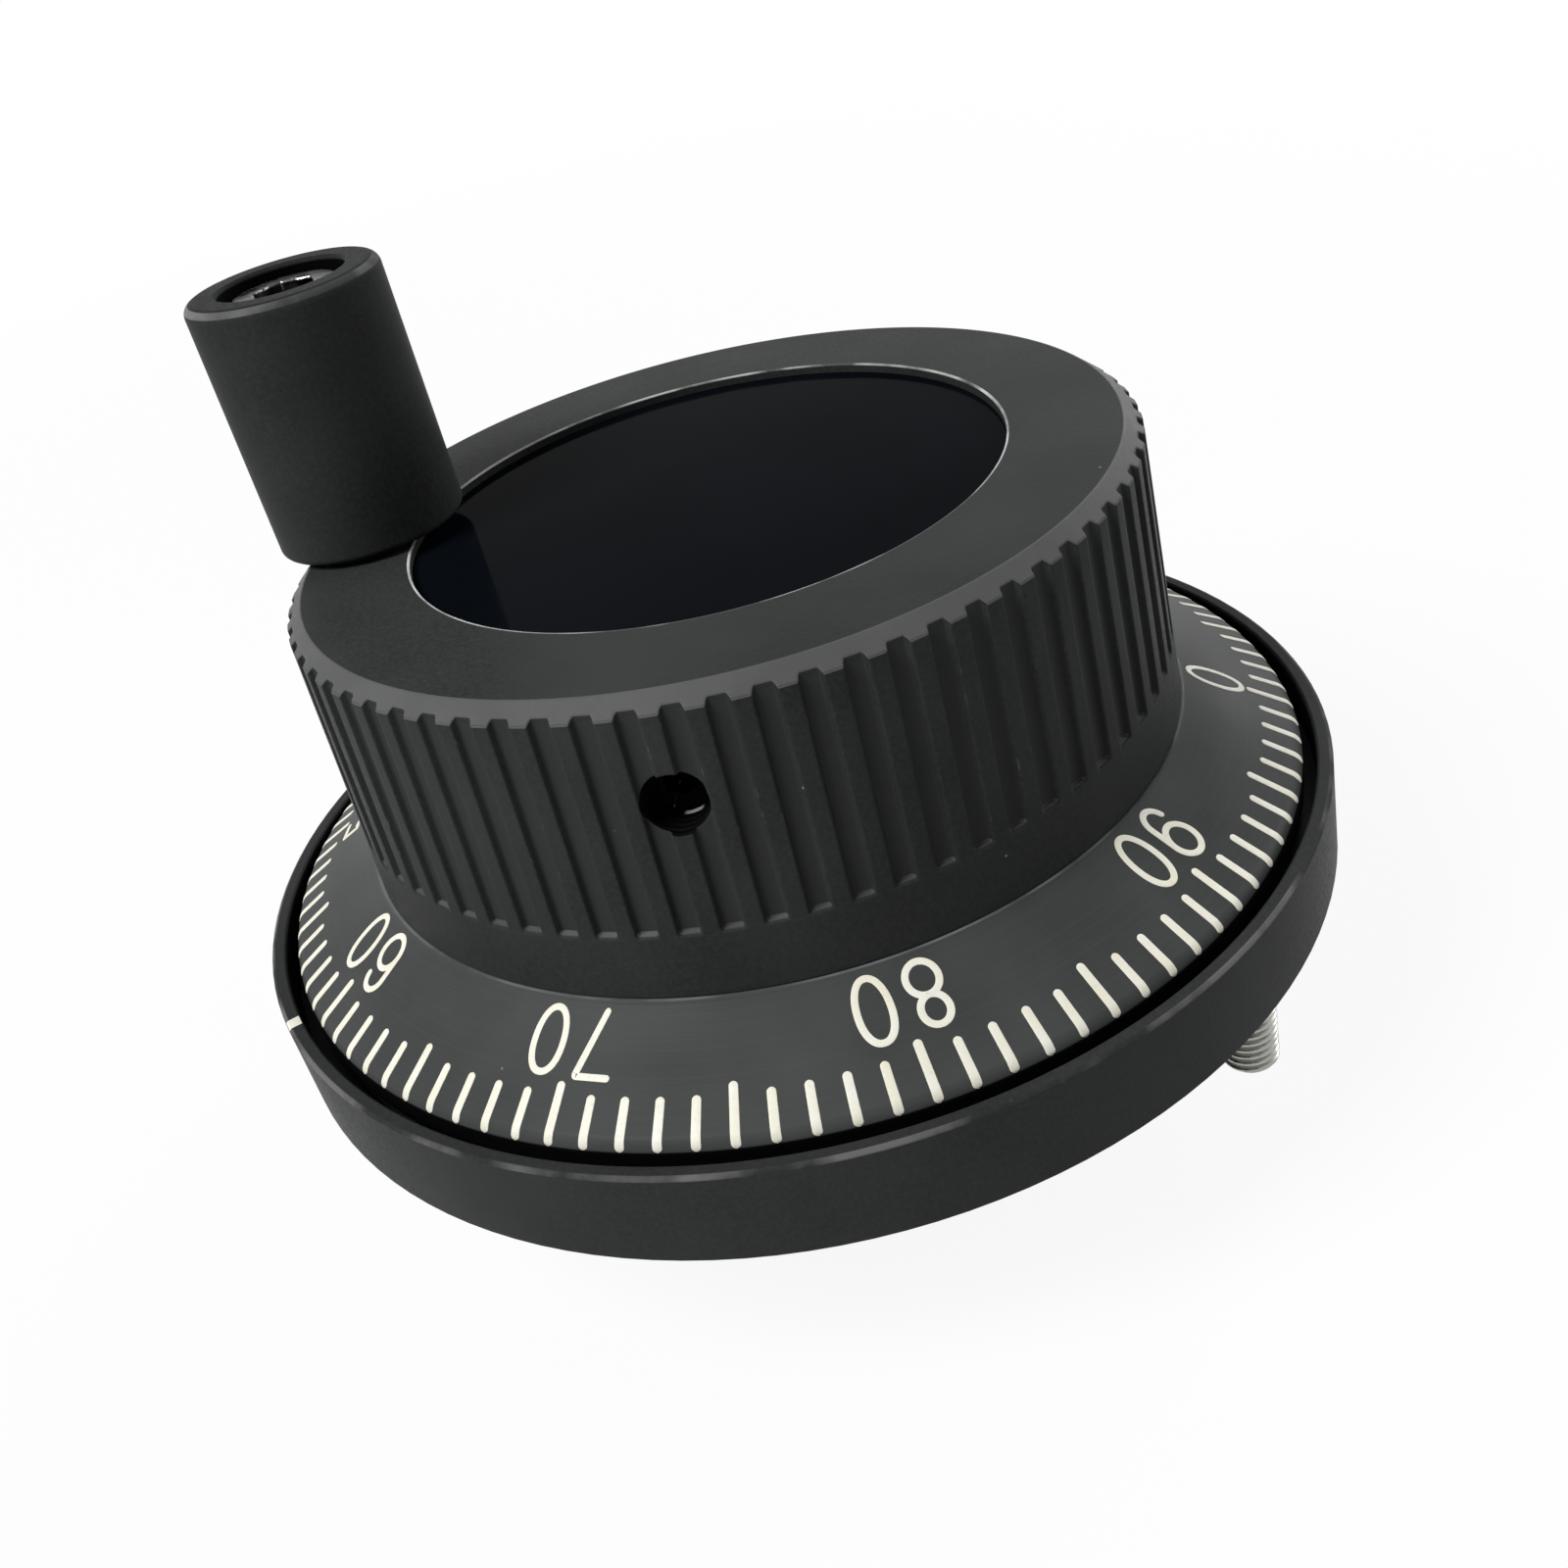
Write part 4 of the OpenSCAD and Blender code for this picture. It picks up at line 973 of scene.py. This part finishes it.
def digit_strokes(digit):
    """Centre lines of a single-stroke engraving digit on a unit box.

    Those of 0 and 8 are closed.
    """
    if digit == 0:
        return [ellipse(0.5, 0.5, 0.5, 0.5, 0, 360, 49, 2.15)[:-1]]
    if digit == 1:
        return [bent((0.22, 0.78, 0), (0.56, 1, 0.03), (0.56, 0, 0))]
    if digit == 2:
        hook = ellipse(0.5, 0.70, 0.47, 0.30, 165, -25, 22)
        return [np.concatenate([hook, bent((*hook[-1], 0), (0.02, 0, 0.03), (1, 0, 0))[1:]])]
    if digit == 3:
        return [np.concatenate([ellipse(0.48, 0.755, 0.42, 0.245, 155, -90, 20),
                                ellipse(0.48, 0.265, 0.50, 0.265, 90, -155, 26)[1:]])]
    if digit == 4:
        return [bent((0.74, 0, 0), (0.74, 1, 0.03), (0, 0.28, 0.03), (1, 0.28, 0))]
    if digit == 5:
        bowl = ellipse(0.46, 0.33, 0.54, 0.33, 130, -150, 28)
        return [np.concatenate([bent((0.92, 1, 0), (0.14, 1, 0.03), (*bowl[0], 0))[:-1], bowl])]
    if digit == 6:
        return [np.concatenate([ellipse(0.42, 0.74, 0.42, 0.26, 12, 180, 18),
                                [(0, 0.62), (0, 0.46)],
                                ellipse(0.5, 0.30, 0.5, 0.30, 180, 535, 44)])]
    if digit == 7:
        return [bent((0, 1, 0), (1, 1, 0.03), (0.36, 0, 0))]
    if digit == 8:
        return [ellipse(0.5, 0.765, 0.41, 0.235, 0, 360, 33)[:-1],
                ellipse(0.5, 0.265, 0.5, 0.265, 0, 360, 37)[:-1]]
    return [1 - points for points in digit_strokes(6)]


def ribbon(path, closed, half, height):
    """Round-ended bead of paint along a flat path, as rows of points (across x, along y, lift).

    Each row is the bead's section, moved from the path's point along the path's left normal:
    flat on top, rounded at the shoulders and sunk under the surface. At an open end the
    section's width follows a half circle.
    """
    if closed:
        ahead = np.roll(path, -1, axis=0) - np.roll(path, 1, axis=0)
    else:
        ahead = np.gradient(path, axis=0)
    ahead /= np.linalg.norm(ahead, axis=1)[:, None]
    width = np.ones(len(path))
    if not closed:
        swing = np.radians([80, 60, 35, 15])
        first = path[0] - ahead[0] * half * np.sin(swing)[:, None]
        last = path[-1] + ahead[-1] * half * np.sin(swing[::-1])[:, None]
        path = np.concatenate([first, path, last])
        ahead = np.concatenate([np.tile(ahead[0], (4, 1)), ahead, np.tile(ahead[-1], (4, 1))])
        width = np.concatenate([np.cos(swing), width, np.cos(swing[::-1])])
    left = np.stack([-ahead[:, 1], ahead[:, 0]], axis=1)
    rows = path[:, None] + left[:, None] * (BEAD_ACROSS[:, None] * width[:, None, None] * half)
    lift = np.broadcast_to(BEAD_LIFT[:, None] * height, (*rows.shape[:2], 1))
    return np.concatenate([rows, lift], axis=2)


def on_dial(size, rows, turn):
    """Wrap flat rows round the dial at angle turn.

    Their x runs to the left seen from the spindle, their y outwards down the cone.
    """
    radius, height, out, up = along_dial(size, rows[..., 1])
    middle = along_dial(size, np.array([size.digit_middle]))[0][0]
    spread = radius if rows[..., 1].min() > middle * 2 else middle
    angle = turn + rows[..., 0] / spread
    radius = radius + rows[..., 2] * out
    height = height + rows[..., 2] * up
    return np.stack([radius * np.cos(angle), radius * np.sin(angle), height], axis=-1)


def index_bead(size):
    """Rows of the index line's bead: across the bezel's flat top, then down its chamfer.

    On the top, r = start + s. Past the chamfer's edge both r and z change by cos 45 per step,
    r out and z down, and the lift turns from upright to 45 degrees.
    """
    flat, lift_height = 0.8, 0.01
    slant = cos(pi / 4)
    distance = np.array([0.0, 0.03, 0.4, flat - 0.02, flat + 0.02, 0.95, 1.0])[:, None]
    swell = np.array([0, 1, 1, 1, 1, 1, 0.4])[:, None]
    across = BEAD_ACROSS * size.index_width / 2
    lift = np.where(BEAD_LIFT < 0, 4 * BEAD_LIFT, BEAD_LIFT) * lift_height * swell
    past = np.clip(distance - flat, 0, None) * slant
    outwards, upwards = np.where(distance > flat, [[slant, slant]], [[0, 1]]).T[..., None]
    reach = BEZEL_R - 1 + np.minimum(distance, flat) + past + lift * outwards
    height = BEZEL_TOP - past + lift * upwards
    return np.stack([np.broadcast_to(-across, reach.shape), reach, height], axis=-1)


def bead_mesh(name, beads):
    """One mesh from several beads (rows, closed).

    The two ends of an open bead are closed with a flat face.
    """
    points, quads, caps = [], [], []
    start = 0
    for rows, closed in beads:
        count, section = rows.shape[:2]
        points.append(rows.reshape(-1, 3))
        quads.append(grid_faces(count, section, start, wrap_rows=closed)[:, ::-1])
        if not closed:
            ring = np.arange(section)
            caps += [start + ring, start + (count - 1) * section + ring[::-1]]
        start += count * section
    faces = [np.concatenate(quads)] + ([np.stack(caps)] if caps else [])
    return mesh_object(name, np.concatenate(points), faces)


class HANDWHEEL_OT_marks(Operator):
    """Painted graduations and numbers round the dial's cone, and the index line on the bezel"""
    bl_idname = "handwheel.marks"
    bl_label = "Dial marks"

    def execute(self, context):
        size = in_millimetres(context.scene.handwheel_dial)
        turns = size.zero_turn + np.arange(size.graduations) * 2 * pi / size.graduations
        for name, body, beads, nodes in (
                ("graduations", "handwheel", self.graduations(size, turns), ()),
                ("numbers", "handwheel", self.numbers(size, turns), ()),
                ("index_line", "base", [(index_bead(size), False)], ("index_mark",))):
            finish_piece(bead_mesh(name, beads), body, "engraving_paint", "white_paint", *nodes)
        return {"FINISHED"}

    def graduations(self, size, turns):
        """Straight beads down the cone and over its edge, every fifth one longer."""
        half = size.mark_width / 2
        beads = []
        for number, turn in enumerate(turns):
            start = size.mark_end - (size.short_mark if number % 5 else size.long_mark) + half
            along = np.concatenate([np.linspace(start, size.mark_end - 1.2, 4),
                                    np.linspace(size.mark_end - 1, size.mark_end - half, 8)])
            path = np.stack([0 * along, along], axis=1)
            rows = ribbon(path, False, half, size.paint_height)
            beads.append((on_dial(size, rows, turn), False))
        return beads

    def numbers(self, size, turns):
        """Digit strokes at every tenth mark, read from outside the dial."""
        beads = []
        for number in range(0, size.graduations, 10):
            text = [int(digit) for digit in str(number)]
            for place, digit in enumerate(text):
                shift = ((len(text) - 1) / 2 - place) * size.digit_spacing
                closed = digit in (0, 8)
                for points in digit_strokes(digit):
                    flat = np.stack([shift + (0.5 - points[:, 0]) * size.digit_width,
                                     size.digit_middle + (points[:, 1] - 0.5) * size.digit_height],
                                    axis=1)
                    rows = ribbon(flat, closed, size.digit_stroke / 2, size.paint_height)
                    beads.append((on_dial(size, rows, turns[number]), closed))
        return beads


# ---------------------------------------------------------------- grip

BUSH_R = 4.07
BUSH_H = 5
GRIP_RELIEF_R = 3.4
COUNTERBORE_R = 4.4
COUNTERBORE_H = 3.1


class HANDWHEEL_OT_grip(Operator):
    """Crank grip turned with rounded rims and a counterbore for its screw's head"""
    bl_idname = "handwheel.grip"
    bl_label = "Grip"

    def execute(self, context):
        floor = GRIP_TOP - COUNTERBORE_H
        outline = rounded([
            (BUSH_R, GRIP_FOOT, 0), (GRIP_R, GRIP_FOOT, 0.45), (GRIP_R, GRIP_TOP, 0.75),
            (COUNTERBORE_R, GRIP_TOP, 0.22), (COUNTERBORE_R, floor, 0.1), (BUSH_R, floor, 0),
            (BUSH_R, floor - BUSH_H, 0), (GRIP_RELIEF_R, floor - BUSH_H, 0),
            (GRIP_RELIEF_R, GRIP_FOOT + BUSH_H, 0), (BUSH_R, GRIP_FOOT + BUSH_H, 0)])
        piece = turned("grip_sleeve", outline, 192, GRIP_AT)
        finish_piece(piece, "crank_grip", "grip_black_anodising", "black_anodised", "grip")
        return {"FINISHED"}


# ---------------------------------------------------------------- studs

class HANDWHEEL_OT_studs(Operator):
    """Panel studs with their helical thread"""
    bl_idname = "handwheel.studs"
    bl_label = "Panel studs"

    def execute(self, context):
        size = in_millimetres(context.scene.handwheel_thread)
        radius, height, angle = self.thread(size)
        count, length = radius.shape
        reach = STUD_REACH - size.root_diameter / 2
        points, faces = [], []
        for index, turn in enumerate(pi / 2 + full_turn(3)):
            x, y = reach * cos(turn), reach * sin(turn)
            side = np.stack([x + radius * np.cos(angle), y + radius * np.sin(angle),
                             np.broadcast_to(height, radius.shape)], axis=-1)
            points += [side.reshape(-1, 3), np.array([[x, y, STUD_END], [x, y, STUD_ROOT]])]
            faces += pole_faces(count, length, index * (count * length + 2))
        piece = mesh_object("stud_threads", np.concatenate(points), faces)
        finish_piece(piece, "base", "zinc_plating", "zinc_steel", "panel_studs")
        return {"FINISHED"}

    def thread(self, size):
        """Radius over height and angle of a stud: a helical V thread, then the pressed-in root.

        The flank rises and falls with the fraction of z / pitch - a / 2 pi, cut off at crest
        and root. It is turned down at the stud's end and runs out below the flange.
        """
        major, pressed = size.diameter / 2, size.root_diameter / 2
        lead = 0.52
        chamfer = 0.3
        steps = int(-STUD_END / size.pitch * 14)
        thread = np.linspace(STUD_END, 0, steps)
        height = np.concatenate([thread, [0, 0, STUD_ROOT - chamfer, STUD_ROOT]])
        angle = full_turn(48)[:, None]
        phase = (thread / size.pitch - angle / (2 * pi)) % 1
        flank = np.clip((0.5 - np.abs(phase - 0.5)) / 0.4, 0.12, 0.9) / 0.9
        lead_in = np.clip((thread - STUD_END) / 0.55, 0, 1)
        run_out = np.clip((thread + 0.5) / 0.4, 0, 1)
        cut = np.minimum(major - size.depth * (1 - flank) * (1 - run_out),
                         major - lead + lead * lead_in)
        plug = np.broadcast_to([major, pressed, pressed, pressed - chamfer], (len(angle), 4))
        return np.concatenate([cut, plug], axis=1), height, angle


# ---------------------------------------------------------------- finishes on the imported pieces

NODE_FINISHES = {
    "bezel_black_anodising": ["mounting_flange"],
    "gloss_centre_plate": ["centre_plate"],
    "ground_steel": ["lower_bearing_outer", "upper_bearing_outer", "lower_bearing_inner",
                     "upper_bearing_inner", "bearing_spacer", "spindle", "lower_bearing_balls",
                     "upper_bearing_balls", "detent_ball", "detent_ring", "encoder_disc",
                     "detent_spring"],
    "worn_screw_steel": ["grip_axle"],
    "bright_screw_steel": ["board_screws", "cover_screws", "terminal_screws", "hub_washer"],
    # painted shade: the set screw is near black so it is lost in its hole
    "oiled_black_steel": ["knob_set_screw"],
    "black_oxide_steel": ["bearing_circlip", "spindle_circlip", "hub_screw", "dial_screws",
                          "grip_washer", "encoder_set_screw"],
    "turned_brass": ["detent_plunger", "encoder_hub", "lower_bearing_cage", "upper_bearing_cage",
                     "terminal_pins", "terminal_clamps"],
    "sintered_bronze": ["grip_bushes"],
    "turned_aluminium": ["drive_hub"],
    "board_laminate": ["circuit_board"],
    "black_moulding": ["rear_cover", "terminal_block", "optical_head", "driver_chip",
                       "shaft_seal"],
    "smoked_lens": ["light_emitter", "photo_detector"],
    "capacitor_sleeve": ["capacitors"],
}


class HANDWHEEL_OT_finishes(Operator):
    """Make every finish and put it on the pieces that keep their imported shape"""
    bl_idname = "handwheel.finishes"
    bl_label = "Finishes"

    def execute(self, context):
        settings = context.scene.handwheel_finish
        knob = in_millimetres(context.scene.handwheel_knob)
        blasted_anodising(settings, "knob_black_anodising", knob_wear(knob))
        blasted_anodising(settings, "grip_black_anodising", grip_wear, 0.35)
        blasted_anodising(settings, "bezel_black_anodising", bezel_wear)
        turned_anodising(settings, in_millimetres(context.scene.handwheel_dial))
        tapped_hole(knob)
        gloss_plate(settings)
        mark_paint(settings)
        board_laminate()
        worn_screw()
        machined_metal("zinc_plating", tuple(settings.zinc), 0.3, mark=0.6, worn=0.85)
        machined_metal("ground_steel", (0.62, 0.63, 0.65), 0.2, (1, 1, 0.1), 0.8)
        machined_metal("bright_screw_steel", (0.66, 0.66, 0.67), 0.2, mark=0.7, worn=0.8,
                       depth=0.03)
        machined_metal("black_oxide_steel", (0.05, 0.05, 0.055), 0.35)
        # painted shade: near black steel for the set screw in its hole
        machined_metal("oiled_black_steel", (0.004, 0.004, 0.004), 0.6)
        machined_metal("turned_brass", (0.72, 0.53, 0.24), 0.28, (1, 1, 0.15), 0.8)
        machined_metal("sintered_bronze", (0.5, 0.3, 0.15), 0.45, mark=0.3, depth=0.03)
        machined_metal("turned_aluminium", (0.6, 0.61, 0.62), 0.32, (1, 1, 0.12), 0.9)
        moulded_plastic("black_moulding", (0.016, 0.016, 0.018))
        moulded_plastic("smoked_lens", (0.10, 0.012, 0.014), 0.2)
        moulded_plastic("capacitor_sleeve", (0.02, 0.035, 0.075), 0.35)
        for name, nodes in NODE_FINISHES.items():
            for node in nodes:
                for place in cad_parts[node].material_slots:
                    place.material = bpy.data.materials[name]
        return {"FINISHED"}


# ---------------------------------------------------------------- panel and registration

class HANDWHEEL_PT_panel(Panel):
    """Lists the handwheel's steps and sizes"""
    bl_idname = "HANDWHEEL_PT_panel"
    bl_label = "Pulse generator handwheel"
    bl_space_type = "VIEW_3D"
    bl_region_type = "UI"
    bl_category = "Handwheel"

    def draw(self, context):
        for step in STEPS:
            self.layout.operator(f"handwheel.{step}")
        for group in SETTINGS:
            box = self.layout.box()
            box.label(text=group)
            holder = getattr(context.scene, f"handwheel_{group}")
            for key in holder.__annotations__:
                box.prop(holder, key)


STEPS = ("stage", "finishes", "knob", "dial", "marks", "grip", "studs")
SETTINGS = {
    "knob": HandwheelKnobSettings,
    "dial": HandwheelDialSettings,
    "thread": HandwheelThreadSettings,
    "finish": HandwheelFinishSettings,
    "stage": HandwheelStageSettings,
}
CLASSES = (*SETTINGS.values(), HANDWHEEL_OT_stage, HANDWHEEL_OT_finishes, HANDWHEEL_OT_knob,
           HANDWHEEL_OT_dial, HANDWHEEL_OT_marks, HANDWHEEL_OT_grip, HANDWHEEL_OT_studs,
           HANDWHEEL_PT_panel)


def register():
    for item in CLASSES:
        bpy.utils.register_class(item)
    for name, group in SETTINGS.items():
        setattr(bpy.types.Scene, f"handwheel_{name}", PointerProperty(type=group))


def unregister():
    for name in SETTINGS:
        delattr(bpy.types.Scene, f"handwheel_{name}")
    for item in reversed(CLASSES):
        bpy.utils.unregister_class(item)


def main():
    """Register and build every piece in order."""
    register()
    for step in STEPS:
        getattr(bpy.ops.handwheel, step)()


if __name__ == "__main__":
    main()
